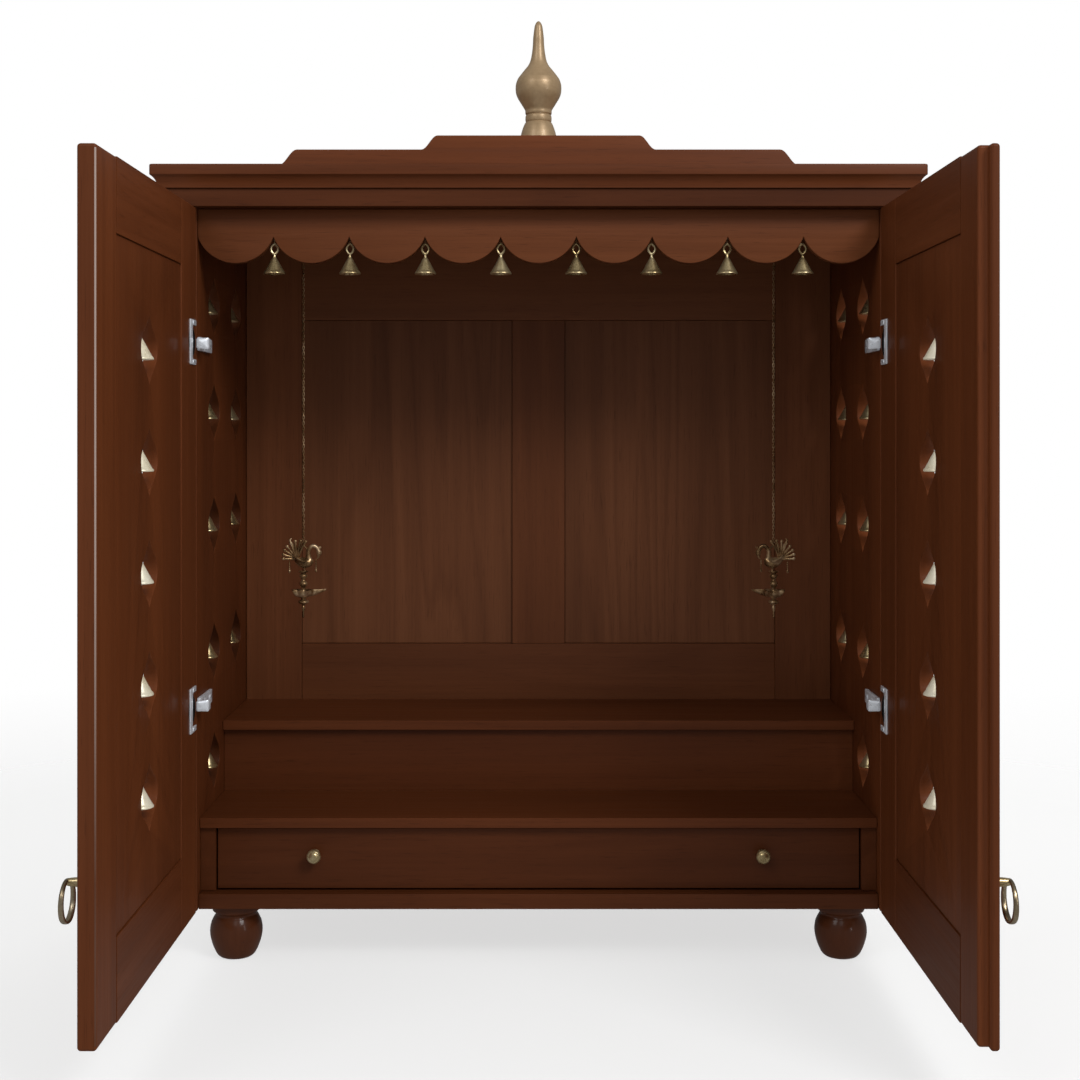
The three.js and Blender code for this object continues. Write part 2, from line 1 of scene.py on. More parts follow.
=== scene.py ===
"""A household altar cabinet of dark lacquered wood, standing on a pale floor with its doors open.

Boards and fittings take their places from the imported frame. Distances are in millimetres, with y counted
backwards from the front edge of the carcass, and mm() and at() turn them into metres.
"""

from math import asin, cos, exp, pi, radians, sin

import bmesh
import bpy
from mathutils import Matrix, Vector


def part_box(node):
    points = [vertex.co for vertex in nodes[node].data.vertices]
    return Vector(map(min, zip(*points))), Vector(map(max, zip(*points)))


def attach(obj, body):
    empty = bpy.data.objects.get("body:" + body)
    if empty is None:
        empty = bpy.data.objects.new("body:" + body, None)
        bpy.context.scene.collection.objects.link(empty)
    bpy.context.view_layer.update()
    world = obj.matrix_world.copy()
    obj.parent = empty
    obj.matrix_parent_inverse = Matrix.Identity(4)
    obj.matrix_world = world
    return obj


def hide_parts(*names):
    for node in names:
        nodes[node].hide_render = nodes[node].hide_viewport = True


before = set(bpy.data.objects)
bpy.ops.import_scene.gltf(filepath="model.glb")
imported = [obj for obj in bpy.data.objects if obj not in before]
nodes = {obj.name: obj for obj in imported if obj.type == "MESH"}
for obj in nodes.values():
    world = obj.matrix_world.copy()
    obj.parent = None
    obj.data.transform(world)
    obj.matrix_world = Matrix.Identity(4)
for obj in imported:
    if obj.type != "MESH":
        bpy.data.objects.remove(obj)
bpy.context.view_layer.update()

MM = 0.001
FIT = 0.15
FRONT_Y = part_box("side_wall_left")[0].y - FIT * MM
INNER_HALF = 400.0

SIDES = {"left": -1, "right": 1}

shift_to = Matrix.Translation


def mm(x, y, z):
    """A point or a step in metres, from millimetres."""
    return Vector((x, y, z)) * MM


def in_profile(*points):
    """Points in metres from their (x, z) in millimetres, all at y = 0."""
    return [mm(x, 0, z) for x, z in points]


def at(x, y, z):
    """A point in the frame from millimetres, y counted from the front edge of the carcass."""
    return Vector((x * MM, FRONT_Y + y * MM, z * MM))


def node_mm(node):
    """(low, high) of a CAD node in millimetres, y counted from the front edge of the carcass."""
    low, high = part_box(node)
    origin = Vector((0, FRONT_Y, 0))
    return (low - origin) / MM, (high - origin) / MM


def middle_mm(node):
    low, high = node_mm(node)
    return (low + high) / 2


# Materials


class Graph:
    """A material's node tree, with short ways to add and join nodes."""

    def __init__(self, name):
        self.material = bpy.data.materials.new(name)
        self.material.use_nodes = True
        self.tree = self.material.node_tree
        self.shader = self.tree.nodes["Principled BSDF"]

    def feed(self, socket, value):
        """Joins another node's output to a socket, or sets the socket's own number or colour."""
        if isinstance(value, bpy.types.NodeSocket):
            self.tree.links.new(value, socket)
        elif socket.type == "RGBA":
            socket.default_value = (*value, 1.0)
        else:
            socket.default_value = value

    def add(self, kind, inputs, **settings):
        node = self.tree.nodes.new("ShaderNode" + kind)
        for key, value in settings.items():
            setattr(node, key, value)
        for key, value in inputs.items():
            self.feed(node.inputs[key], value)
        return node

    def place(self):
        """Where a point lies, measured from the object's own origin."""
        return self.add("TexCoord", {}).outputs["Object"]

    def math(self, operation, a, b, clamp=False):
        return self.add("Math", {0: a, 1: b}, operation=operation, use_clamp=clamp).outputs[0]

    def noise(self, vector, scale, detail, rough, bent=0.0):
        inputs = {"Vector": vector, "Scale": scale, "Detail": detail, "Roughness": rough, "Distortion": bent}
        return self.add("TexNoise", inputs).outputs["Fac"]

    def ramp(self, value, stops):
        node = self.add("ValToRGB", {"Fac": value})
        elements = node.color_ramp.elements
        while len(elements) < len(stops):
            elements.new(0.5)
        for element, (place, colour) in zip(elements, stops):
            element.position = place
            element.color = (*colour, 1.0)
        return node.outputs["Color"]

    def range(self, value, low, high, to_low=0.0, to_high=1.0):
        inputs = {"Value": value, "From Min": low, "From Max": high, "To Min": to_low, "To Max": to_high}
        return self.add("MapRange", inputs).outputs["Result"]

    def mix(self, factor, a, b):
        return self.add("Mix", {0: factor, 6: a, 7: b}, data_type="RGBA").outputs[2]

    def to_shader(self, **sockets):
        for name, value in sockets.items():
            self.feed(self.shader.inputs[name.replace("_", " ")], value)

    def bump(self, height, strength, distance):
        inputs = {"Height": height, "Strength": strength, "Distance": distance}
        return self.add("Bump", inputs).outputs["Normal"]


WOOD_SHADES = ((0.060, 0.0154, 0.0047), (0.106, 0.0286, 0.0086), (0.167, 0.0472, 0.0147))
TREE_STEP = (7.1, 3.7, 5.3)
RING_STOPS = ((0.0, (0.2,) * 3), (0.2, (0.62,) * 3), (0.72, (0.86,) * 3), (1.0, (0.22,) * 3))


def wood(name, grain, tone=1.0, figure=1.0, grey=0.0, coat=0.03):
    """Stained wood under satin lacquer, its fibres along the grain axis. Each board gets its own stretch of
    tree. grey moves the stain from red-brown towards a duller brown."""
    g = Graph(name)
    chance = g.add("ObjectInfo", {}).outputs["Random"]
    steps = {axis: g.math("MULTIPLY", chance, step) for axis, step in enumerate(TREE_STEP)}
    shift = g.add("CombineXYZ", steps).outputs[0]
    place = g.add("VectorMath", {0: g.place(), 1: shift}, operation="ADD").outputs[0]

    def stretched(across, along):
        scale = [across, across, across]
        scale["XYZ".index(grain)] = along
        return g.add("VectorMath", {0: place, 1: tuple(scale)}, operation="MULTIPLY").outputs[0]

    drift = g.noise(stretched(3.4, 1.3), 1.0, 2.0, 0.5)
    field = g.noise(stretched(6.5, 0.5), 1.0, 2.5, 0.5, 0.35)
    rings = g.ramp(g.math("FRACT", g.math("MULTIPLY", field, 13.0), 0.0), RING_STOPS)
    bands = g.noise(stretched(46.0, 0.9), 1.0, 3.0, 0.6, 0.2)
    fibres = g.noise(stretched(330.0, 5.0), 1.0, 4.0, 0.65)
    pores = g.range(g.noise(stretched(760.0, 34.0), 1.0, 2.0, 0.5), 0.60, 0.72)

    value = g.math("MULTIPLY", rings, 0.09 * figure)
    for layer, share in ((bands, 0.42), (fibres, 0.26), (drift, 0.55)):
        value = g.math("ADD", value, g.math("MULTIPLY", layer, share))
    middle = 0.615 + 0.055 * figure
    value = g.range(value, middle - 0.42, middle + 0.42)
    dulling = (1.0, 1.0 + 0.26 * grey, 1.0 + 0.62 * grey)
    shades = [tuple(channel * tone * dull for channel, dull in zip(shade, dulling)) for shade in WOOD_SHADES]
    colour = g.ramp(value, tuple(zip((0.0, 0.5, 1.0), shades)))
    pore_colour = tuple(0.45 * channel for channel in shades[0])
    height = g.math("SUBTRACT", g.math("MULTIPLY", fibres, 0.6), g.math("MULTIPLY", pores, 0.8))
    g.to_shader(
        Base_Color=g.mix(g.math("MULTIPLY", pores, 0.30), colour, pore_colour),
        Roughness=g.range(fibres, 0.3, 0.7, 0.38, 0.50),
        Normal=g.bump(height, 0.16, 0.0002),
        IOR=1.45,
        Specular_IOR_Level=0.12,
        Coat_Weight=coat,
        Coat_Roughness=0.14,
    )
    return g.material


def metal(name, dark, middle, pale, roughness, mottle, metallic=1.0, bump=0.12, coat=0.0):
    """Cast or plated metal: its colour and gloss drift softly, and its skin is never quite flat."""
    g = Graph(name)
    place = g.place()
    cloud = g.noise(place, mottle, 4.0, 0.6)
    speck = g.noise(place, mottle * 28.0, 3.0, 0.6)
    both = g.math("ADD", g.math("MULTIPLY", cloud, 0.7), g.math("MULTIPLY", speck, 0.3))
    g.to_shader(
        Base_Color=g.ramp(g.range(both, 0.34, 0.66), ((0.0, dark), (0.45, middle), (1.0, pale))),
        Roughness=g.range(cloud, 0.3, 0.7, roughness * 0.75, roughness * 1.3),
        Normal=g.bump(speck, bump, 0.0001),
        Metallic=metallic,
        Coat_Weight=coat,
    )
    return g.material


def painted_arris_highlight(name):
    """A painted highlight along an arris, where a lamp would glint: pale above, and fading into the wood's
    colour towards the floor.
    """
    g = Graph(name)
    place = g.place()
    rise = g.range(g.add("SeparateXYZ", {0: place}).outputs["Z"], 0.22, 0.52)
    patches = g.noise(place, 9.0, 2.0, 0.5)
    highlight_amount = g.math("ADD", rise, g.math("MULTIPLY", g.math("SUBTRACT", patches, 0.5), 0.3), True)
    g.to_shader(
        Base_Color=g.mix(highlight_amount, (0.10, 0.032, 0.012), (0.36, 0.265, 0.225)),
        Roughness=g.range(patches, 0.3, 0.7, 0.25, 0.4),
    )
    return g.material


def woods(name, axes, *looks, **more_looks):
    """One wood for each direction of its fibres."""
    return {axis: wood(name + axis.lower(), axis, *looks, **more_looks) for axis in axes}


WOOD = woods("lacquered_wood_", "XY")
# The copies below are the one stained wood at other tones, which paint light and shade onto their parts:
# darker low down (LOW_WOOD, FOOT_WOOD) and on the frieze under the cornice; lighter on the crest, the
# valance, the walls and the back inside the cabinet, and lightest on the back's top rail in the shade under
# the valance.
LOW_WOOD = woods("low_wood_", "XY", 0.78)
INNER_WOOD = woods("inner_wood_", "XZ", 1.3, grey=0.7)
# The left door's wood is a lighter copy than the right door's: painted light on the side the key lamp faces.
DOOR_WOOD = {"left": woods("left_door_wood_", "YZ", 1.28), "right": woods("right_door_wood_", "YZ", 1.14)}
CREST_WOOD = wood("crest_wood", "X", 1.22, 1.8)
FRIEZE_WOOD = wood("frieze_wood", "X", 0.72, 1.8)
VALANCE_WOOD = wood("valance_wood", "X", 1.24, grey=0.5)
WALL_WOOD = wood("wall_wood", "Z", 1.18)
PANEL_WOOD = wood("inner_panel_wood", "Z", 1.36, 2.4, 1.15)
SHADED_RAIL_WOOD = wood("shaded_rail_wood", "X", 1.6, grey=1.0)
# A much darker copy for the left wall's cut-out edges: painted shade.
CUTOUT_PAINTED_SHADE_WOOD = wood("cutout_painted_shade_wood", "Y", 0.55)
# The rebate's faces get a lighter copy, painted light against the shade in the rebate's corner, and the
# stiles' end faces a slightly darker one, painted shade.
REBATE_WOOD = wood("rebate_wood", "Z", 1.25)
STILE_END_WOOD = wood("stile_end_wood", "Z", 0.96)
FOOT_WOOD = wood("polished_foot_wood", "Z", 0.68, coat=0.35)
ARRIS_HIGHLIGHT = painted_arris_highlight("painted_arris_highlight")

BRASS = metal("polished_brass", (0.24, 0.165, 0.07), (0.56, 0.43, 0.22), (0.82, 0.7, 0.44), 0.28, 22, 0.85)
# A paler copy of the brass for the bells in the doors' cut-outs: a painted reflection of the bright room in
# their gloss.
SHEEN_PAINTED_BRASS = metal("sheen_painted_brass", (0.66, 0.56, 0.36), (0.93, 0.85, 0.64), (1.0, 0.95, 0.78), 0.30, 22.0, 0.2)
AGED_BRASS = metal("aged_brass", (0.085, 0.043, 0.018), (0.33, 0.195, 0.085), (0.78, 0.58, 0.36), 0.28, 70.0,
                   0.75)
DARK_BRASS = metal("dark_ring_brass", (0.16, 0.12, 0.07), (0.42, 0.33, 0.21), (0.70, 0.60, 0.44), 0.30, 30.0)
# The chrome is near-white and only partly metallic: its colour paints the bright reflection that plated
# metal facing the front would show.
CHROME = metal("chrome_plate", (0.72, 0.76, 0.83), (0.84, 0.88, 0.94), (0.92, 0.95, 1), 0.28, 20, 0.3, 0.05)
GOLD_PAINT = metal("champagne_gold", (0.31, 0.205, 0.108), (0.385, 0.262, 0.142), (0.455, 0.318, 0.18), 0.40,
                   9.0, 0.35, 0.06, 0.10)
# Near-black metal that paints the shade inside hollows: the hinge cups' pots, their links and the screws'
# cross slots.
HOLLOW_SHADE_PAINT = metal("hollow_shade_paint", (0.01, 0.01, 0.011), (0.02, 0.02, 0.022), (0.03, 0.03, 0.032), 0.6, 14.0)


# Making meshes. A shape is its vertices in metres, its faces and, where it isn't 0, its material's number


def clean(mesh, merge=0.0):
    """Turns the faces outward, and joins the points that lie nearer than merge."""
    work = bmesh.new()
    work.from_mesh(mesh)
    if merge:
        bmesh.ops.remove_doubles(work, verts=work.verts, dist=merge)
    bmesh.ops.recalc_face_normals(work, faces=work.faces)
    work.to_mesh(mesh)
    work.free()


def smooth(mesh, sharp=32.0):
    """Smooth faces, with a crisp edge where they turn by more than sharp degrees."""
    mesh.polygons.foreach_set("use_smooth", [True] * len(mesh.polygons))
    mesh.set_sharp_from_angle(angle=radians(sharp))
    mesh.update()


def add_object(name, data):
    made = bpy.data.objects.new(name, data)
    bpy.context.scene.collection.objects.link(made)
    return made


def place_object(name, mesh, body, stands_for):
    made = add_object(name, mesh)
    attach(made, body)
    if stands_for:
        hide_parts(*stands_for)
    return made


def piece(name, shapes, body, materials, stands_for=(), sharp=32.0, merge=0.0):
    """One object made of shapes, riding on a body."""
    vertices = []
    faces = []
    numbers = []
    for points, sides, *number in shapes:
        offset = len(vertices)
        vertices.extend([tuple(point) for point in points])
        faces.extend([tuple(offset + i for i in side) for side in sides])
        numbers.extend((number or [0]) * len(sides))
    mesh = bpy.data.meshes.new(name)
    mesh.from_pydata(vertices, [], faces)
    for material in materials:
        mesh.materials.append(material)
    mesh.polygons.foreach_set("material_index", numbers)
    mesh.validate()
    clean(mesh, merge)
    smooth(mesh, sharp)
    return place_object(name, mesh, body, stands_for)


def moved(shape, matrix):
    return ([matrix @ Vector(v) for v in shape[0]], *shape[1:])


def all_moved(shapes, matrix):
    return [moved(shape, matrix) for shape in shapes]


def bezier(a, b, c, d, steps):
    points = []
    for k in range(steps + 1):
        t = k / steps
        u = 1 - t
        weights = (u**3, 3 * u * u * t, 3 * u * t * t, t**3)
        points.append(tuple(sum(w * p for w, p in zip(weights, places)) for places in zip(a, b, c, d)))
    return points


def smooth_line(points, steps):
    """A curve through the points. A point given twice in a row stays a sharp corner."""
    out = []
    points = [Vector(point) for point in points]
    for i, (b, c) in enumerate(zip(points, points[1:])):
        if (b - c).length < 1e-9:
            continue
        a = points[max(i - 1, 0)]
        d = points[min(i + 2, len(points) - 1)]
        tangent_b = c - a if (a - b).length > 1e-9 else c - b
        tangent_c = d - b if (d - c).length > 1e-9 else c - b
        out += bezier(b, b + tangent_b / 6, c - tangent_c / 6, c, steps)[:-1]
    return [Vector(point) for point in out] + [points[-1]]


def ring_faces(rows, count, closed=False):
    """Faces between rings of count points: a closed loop of rings, or a row with a cap at each end."""
    faces = []
    for row in range(rows if closed else rows - 1):
        low, high = row * count, (row + 1) % rows * count
        for k in range(count):
            n = (k + 1) % count
            faces.append((low + k, low + n, high + n, high + k))
    if not closed:
        faces.append(tuple(range(count)))
        faces.append(tuple((rows - 1) * count + k for k in reversed(range(count))))
    return faces


def turned(profile, segments, steps=5):
    """A body turned about z from (radius, height) points in millimetres."""
    vertices = []
    rings = []
    for point in smooth_line([(r, h, 0) for r, h in profile], steps):
        radius, height = max(point.x, 0) * MM, point.y * MM
        start = len(vertices)
        for k in range(segments if radius > 1e-6 else 1):
            angle = 2 * pi * k / segments
            vertices.append(Vector((radius * cos(angle), radius * sin(angle), height)))
        rings.append(range(start, len(vertices)))
    faces = []
    for low, high in zip(rings, rings[1:]):
        for k in range(segments):
            spots = ((low, k), (low, k + 1), (high, k + 1), (high, k))
            faces.append(tuple(dict.fromkeys(ring[spot % len(ring)] for ring, spot in spots)))
    return vertices, [face for face in faces if len(face) > 2]


def swept(points, radii, sides, steps=5, closed=False, flat=1.0, up=Vector((0, 1, 0))):
    """A tube through points in metres, with radii in millimetres along it. flat scales it along up."""
    line = smooth_line(points, steps) if not closed else [Vector(p) for p in points]
    count = len(line)
    vertices = []
    for i, point in enumerate(line):
        before = line[i - 1] if closed or i > 0 else line[i]
        after = line[(i + 1) % count] if closed or i < count - 1 else line[i]
        tangent = (after - before).normalized()
        side = tangent.cross(up)
        side = side.normalized() if side.length > 1e-6 else Vector((1, 0, 0))
        rise = side.cross(tangent).normalized()
        spot = i / max(count - 1, 1) * (len(radii) - 1)
        low = min(int(spot), len(radii) - 1)
        high = min(low + 1, len(radii) - 1)
        radius = (radii[low] + (radii[high] - radii[low]) * (spot - low)) * MM
        for k in range(sides):
            angle = 2 * pi * k / sides
            out = side * cos(angle) * radius + rise * sin(angle) * radius * flat
            vertices.append(point + out)
    return vertices, ring_faces(count, sides, closed)


def loop_points(half_width, half_height, centre, count, plane):
    """An upright ellipse around a centre in metres, its half sizes in millimetres."""
    points = []
    for k in range(count):
        angle = 2 * pi * k / count
        a, b = half_width * cos(angle), half_height * sin(angle)
        points.append(centre + (mm(a, 0, b) if plane == "xz" else mm(0, a, b)))
    return points


def ball(centre, radii, rings, segments):
    """An ellipsoid around a centre in metres, its radii in millimetres."""
    profile = []
    for i in range(rings + 1):
        angle = pi * i / rings - pi / 2
        profile.append((cos(angle) if 0 < i < rings else 0, sin(angle)))
    scale = Matrix.Diagonal((*radii, 1))
    return moved(turned(profile, segments, 1), shift_to(centre) @ scale)


def around(middle, reach):
    return middle - reach, middle + reach


def block(xs, ys, zs):
    """A plain block from its two ends along each axis, in millimetres."""
    vertices = [mm(x, y, z) for x in xs for y in ys for z in zs]
    faces = [(0, 1, 3, 2), (4, 6, 7, 5), (0, 4, 5, 1), (2, 3, 7, 6), (0, 2, 6, 4), (1, 5, 7, 3)]
    return vertices, faces


def cut_plate(outlines, thickness, edge):
    """A flat plate from closed outlines in millimetres, the first outside and the rest holes, with eased
    arrises. It lies about z = 0, and its mesh is in metres."""
    curve = bpy.data.curves.new("outline", "CURVE")
    curve.dimensions = "2D"
    curve.fill_mode = "BOTH"
    for outline in outlines:
        spline = curve.splines.new("POLY")
        spline.points.add(len(outline) - 1)
        for point, (a, b) in zip(spline.points, outline):
            point.co = (a * MM, b * MM, 0, 1)
        spline.use_cyclic_u = True
    curve.extrude = (thickness / 2 - edge) * MM
    curve.bevel_depth = edge * MM
    curve.bevel_resolution = 2
    curve.offset = -edge * MM
    holder = add_object("outline", curve)
    bpy.context.view_layer.update()
    mesh = bpy.data.meshes.new_from_object(holder.evaluated_get(bpy.context.evaluated_depsgraph_get()))
    bpy.data.objects.remove(holder)
    bpy.data.curves.remove(curve)
    clean(mesh, 1e-6)
    return mesh


def plate_shape(outline, thickness, edge):
    mesh = cut_plate([outline], thickness, edge)
    shape = ([v.co.copy() for v in mesh.vertices], [tuple(p.vertices) for p in mesh.polygons])
    bpy.data.meshes.remove(mesh)
    return shape


UPRIGHT = {
    "x": Matrix(((0, 0, 1, 0), (1, 0, 0, 0), (0, 1, 0, 0), (0, 0, 0, 1))),
    "y": Matrix(((1, 0, 0, 0), (0, 0, -1, 0), (0, 1, 0, 0), (0, 0, 0, 1))),
}


def plate(name, node, facing, outlines, edge, body, material):
    """Stands for a flat board that faces x or y: as thick as its node, and in its place."""
    low, high = node_mm(node)
    middle = (low + high) / 2
    thick = getattr(high - low, facing)
    place = at(middle.x, 0, 0) if facing == "x" else at(0, middle.y, 0)
    mesh = cut_plate(outlines, thick, edge)
    mesh.transform(shift_to(place) @ UPRIGHT[facing])
    mesh.materials.clear()
    mesh.materials.append(material)
    smooth(mesh)
    return place_object(name, mesh, body, (node,))


CORNER_STEPS = 5


def softened(corners):
    """A closed outline from (across, up, radius) corners, each rounded by its radius."""
    points = []
    count = len(corners)
    for i, (x, y, radius) in enumerate(corners):
        here = Vector((x, y))
        before = Vector(corners[i - 1][:2])
        after = Vector(corners[(i + 1) % count][:2])
        start = here + (before - here).normalized() * radius
        end = here + (after - here).normalized() * radius
        for k in range(CORNER_STEPS + 1):
            t = k / CORNER_STEPS
            u = 1 - t
            weight = 0.7071 * 2 * u * t
            total = u * u + weight + t * t
            points.append(tuple((start * u * u + here * weight + end * t * t) / total))
    return points


def rectangle(x0, x1, y0, y1, radius):
    return softened([(x0, y0, radius), (x1, y0, radius), (x1, y1, radius), (x0, y1, radius)])


# Woodwork

BOARD_EASE = 0.9
PANEL_EASE = 0.6
PLATE_EDGE = 0.8
ARRIS_ANGLE = 25


def round_arrises(made, width, segments):
    bevel = made.modifiers.new("ease", "BEVEL")
    bevel.width = width * MM
    bevel.segments = segments
    bevel.limit_method = "ANGLE"
    bevel.angle_limit = radians(ARRIS_ANGLE)
    return bevel


def make_boards():
    """The plain boards stay CAD nodes: they get eased arrises and wood whose fibres run along them, in
    lighter or darker copies that paint light and shade.
    """
    boards = [
        (WOOD["X"], ("lower_step", "upper_step", "step_riser")),
        (LOW_WOOD["X"], ("bottom_board", "drawer_front", "drawer_box")),
        (LOW_WOOD["Y"], ("drawer_filler_left", "drawer_filler_right")),
        (FRIEZE_WOOD, ("frieze_board",)),
        (SHADED_RAIL_WOOD, ("back_top_rail",)),
        (INNER_WOOD["X"], ("back_bottom_rail",)),
        (INNER_WOOD["Z"], ("back_stile_left", "back_stile_right", "back_middle_stile")),
        (PANEL_WOOD, ("back_panel_left", "back_panel_right")),
    ]
    for side in SIDES:
        boards.append((DOOR_WOOD[side]["Y"], ("door_bottom_rail_" + side, "door_top_rail_" + side)))
        boards.append((DOOR_WOOD[side]["Z"], ("door_hinge_stile_" + side,)))
    for material, names in boards:
        for name in names:
            board = nodes[name]
            board.data.materials.clear()
            board.data.materials.append(material)
            board.modifiers.new("weld", "WELD").merge_threshold = 1e-5
            round_arrises(board, PANEL_EASE if name.startswith("back_panel") else BOARD_EASE, 3)


TONGUE_THICK = 5.0
TONGUE_REACH = 4.0
TONGUE_STOP = 2.0


def tongue(xs, ys, zs):
    return moved(block(xs, ys, zs), shift_to(at(0, 0, 0)))


def make_tongues():
    """The tongues inside the joints between boards, which keep light from showing through them."""
    low, high = node_mm("back_middle_stile")
    outer_low, outer_high = node_mm("back_stile_right")
    thick = around((low.y + high.y) / 2, TONGUE_THICK / 2)
    length = (outer_low.z + TONGUE_STOP, outer_high.z - TONGUE_STOP)
    blocks = []
    for x in (high.x, outer_low.x, outer_high.x):
        for sign in (-1, 1):
            blocks.append(tongue(around(sign * x, TONGUE_REACH), thick, length))
    for z in (low.z, high.z):
        blocks.append(tongue((-outer_low.x, outer_low.x), thick, around(z, TONGUE_REACH)))
    piece("back_tongues", blocks, "cabinet", [INNER_WOOD["Z"]])

    for side in SIDES:
        low, high = node_mm("door_panel_" + side)
        rail_foot = node_mm("door_bottom_rail_" + side)[0].z
        rail_head = node_mm("door_top_rail_" + side)[1].z
        thick = around((low.x + high.x) / 2, TONGUE_THICK / 2)
        length = (rail_foot + TONGUE_STOP, rail_head - TONGUE_STOP)
        blocks = [tongue(thick, around(y, TONGUE_REACH), length) for y in (low.y, high.y)]
        blocks += [tongue(thick, (low.y, high.y), around(z, TONGUE_REACH)) for z in (low.z, high.z)]
        piece("door_tongues_" + side, blocks, side + "_door", [DOOR_WOOD[side]["Z"]])


MEETING_ARRIS = 3.4
MEETING_REBATE = 10.0
ARRIS_LINE = {"radius": 1.15, "inset": 0.42 * MEETING_ARRIS, "foot": 5, "head": 4}
SAME_PLANE = 0.5


def prism(outline, foot, head):
    """An upright prism on a plan outline in millimetres, y counted from the front edge of the carcass."""
    return [at(x, y, z) for z in (foot, head) for x, y in outline], ring_faces(2, len(outline))


def make_meeting_stiles():
    """The doors' free edges, rounded all over: the right one has a rebate, the left one a pale rod along its
    arris as a painted highlight.
    """
    for side, sign in SIDES.items():
        node = "door_meeting_stile_" + side
        low, high = node_mm(node)
        outer, inner = (low.x, high.x) if sign < 0 else (high.x, low.x)
        plan = [(outer, high.y), (outer, low.y), (inner, low.y), (inner, high.y)]
        if side == "right":
            half, rebate_y = (outer + inner) / 2, low.y + MEETING_REBATE
            plan[2:3] = [(half, low.y), (half, rebate_y), (inner, rebate_y)]
        stile = prism(plan, low.z, high.z)
        materials = [DOOR_WOOD[side]["Z"], REBATE_WOOD, STILE_END_WOOD]
        made = piece("rounded_" + node, [stile], side + "_door", materials, (node,))
        # Faces in the rebate get the lighter copy of the wood, painted light, and the end faces the slightly
        # darker one, painted shade.
        for polygon in made.data.polygons:
            behind_end = (polygon.center.y - FRONT_Y) / MM - low.y
            if behind_end < SAME_PLANE:
                polygon.material_index = 2
            elif behind_end < MEETING_REBATE + SAME_PLANE:
                polygon.material_index = 1
        round_arrises(made, MEETING_ARRIS, 5).harden_normals = True
        # A thin pale rod along the left door's inner arris paints the highlight a lamp would leave there.
        if side == "left":
            ends = (low.z + ARRIS_LINE["foot"], high.z - ARRIS_LINE["head"])
            line = [at(inner - ARRIS_LINE["inset"], low.y + ARRIS_LINE["inset"], z) for z in ends]
            arris = swept(line, [ARRIS_LINE["radius"]], 10, 1)
            piece("worn_arris_left", [arris], "left_door", [ARRIS_HIGHLIGHT])


CUTOUT_HALF_WIDTH = 34
CUTOUT_HALF_HEIGHT = 35
CUTOUT_STEPS = 12
WALL_CUTOUT_Y = (101, 242)
WALL_CUTOUT_Z = (222, 357, 513, 651, 781)
# A point of the shut door lies at this y plus its distance from the middle once the door stands open
DOOR_SWUNG_Y = -432
DOOR_CUTOUT_Y = DOOR_SWUNG_Y + 204
DOOR_CUTOUT_Z = tuple(251 + 115 * i for i in range(5))
WALL_RIM = 0.004


def cutout(across, up):
    """The pointed cut-out: sharp above and below, and round at the waist."""
    w, h = CUTOUT_HALF_WIDTH, CUTOUT_HALF_HEIGHT
    quarter = bezier((w, 0), (w, h * 0.45), (w * 0.45, h * 0.5), (0, h), CUTOUT_STEPS)
    rising = quarter[:-1]
    falling = quarter[1:][::-1]
    outline = rising + [(-a, b) for a, b in falling]
    outline += [(-a, -b) for a, b in rising] + [(a, -b) for a, b in falling]
    return [(across + a, up + b) for a, b in outline]


def pierced_board(node, columns, rows, edge, body, material):
    low, high = node_mm(node)
    outlines = [[(low.y, low.z), (high.y, low.z), (high.y, high.z), (low.y, high.z)]]
    outlines += [cutout(y, z) for y in columns for z in rows]
    return plate("pierced_" + node, node, "x", outlines, edge, body, material)


def shade_cutout_edges(wall, material):
    """Paints shade onto the edges of a wall's cut-outs with a darker copy of the wood."""
    wall.data.materials.append(material)
    low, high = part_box("side_wall_left")
    for polygon in wall.data.polygons:
        if abs(polygon.normal.x) < 0.5 and low.y + WALL_RIM < polygon.center.y < high.y - WALL_RIM:
            polygon.material_index = 1


def make_walls():
    for side in SIDES:
        node = "side_wall_" + side
        wall = pierced_board(node, WALL_CUTOUT_Y, WALL_CUTOUT_Z, BOARD_EASE, "cabinet", WALL_WOOD)
        # Only the left wall's cut-outs get the painted shade, on the side away from the key lamp.
        if side == "left":
            shade_cutout_edges(wall, CUTOUT_PAINTED_SHADE_WOOD)


def make_door_panels():
    for side in SIDES:
        node, body = "door_panel_" + side, side + "_door"
        pierced_board(node, (DOOR_CUTOUT_Y,), DOOR_CUTOUT_Z, PLATE_EDGE, body, DOOR_WOOD[side]["Z"])


SCALLOPS = 9
SCALLOP_PITCH = 2 * INNER_HALF / SCALLOPS
SCALLOP_SAG = 31
SCALLOP_STEPS = 26
VALANCE_NOTCH = 855.6


def make_valance():
    low, high = node_mm("valance")
    chord = SCALLOP_PITCH / 2
    radius = (chord**2 + SCALLOP_SAG**2) / (2 * SCALLOP_SAG)
    spread = asin(chord / radius)
    centre_z = VALANCE_NOTCH - SCALLOP_SAG + radius
    points = [(high.x, high.z), (low.x, high.z)]
    for i in range(SCALLOPS):
        x = SCALLOP_PITCH * (i + 0.5) - INNER_HALF
        for k in range(0 if i == 0 else 1, SCALLOP_STEPS + 1):
            angle = spread * (2 * k / SCALLOP_STEPS - 1)
            across = min(max(x + radius * sin(angle), low.x), high.x)
            points.append((across, centre_z - radius * cos(angle)))
    plate("scalloped_valance", "valance", "y", [points], PLATE_EDGE, "cabinet", VALANCE_WOOD)


CREST_TIERS = ((935.95, 954, 301.5, 280), (954, 970.3, 136, 117))
CREST_LEAN = 0.38
CREST_STEPS = 14


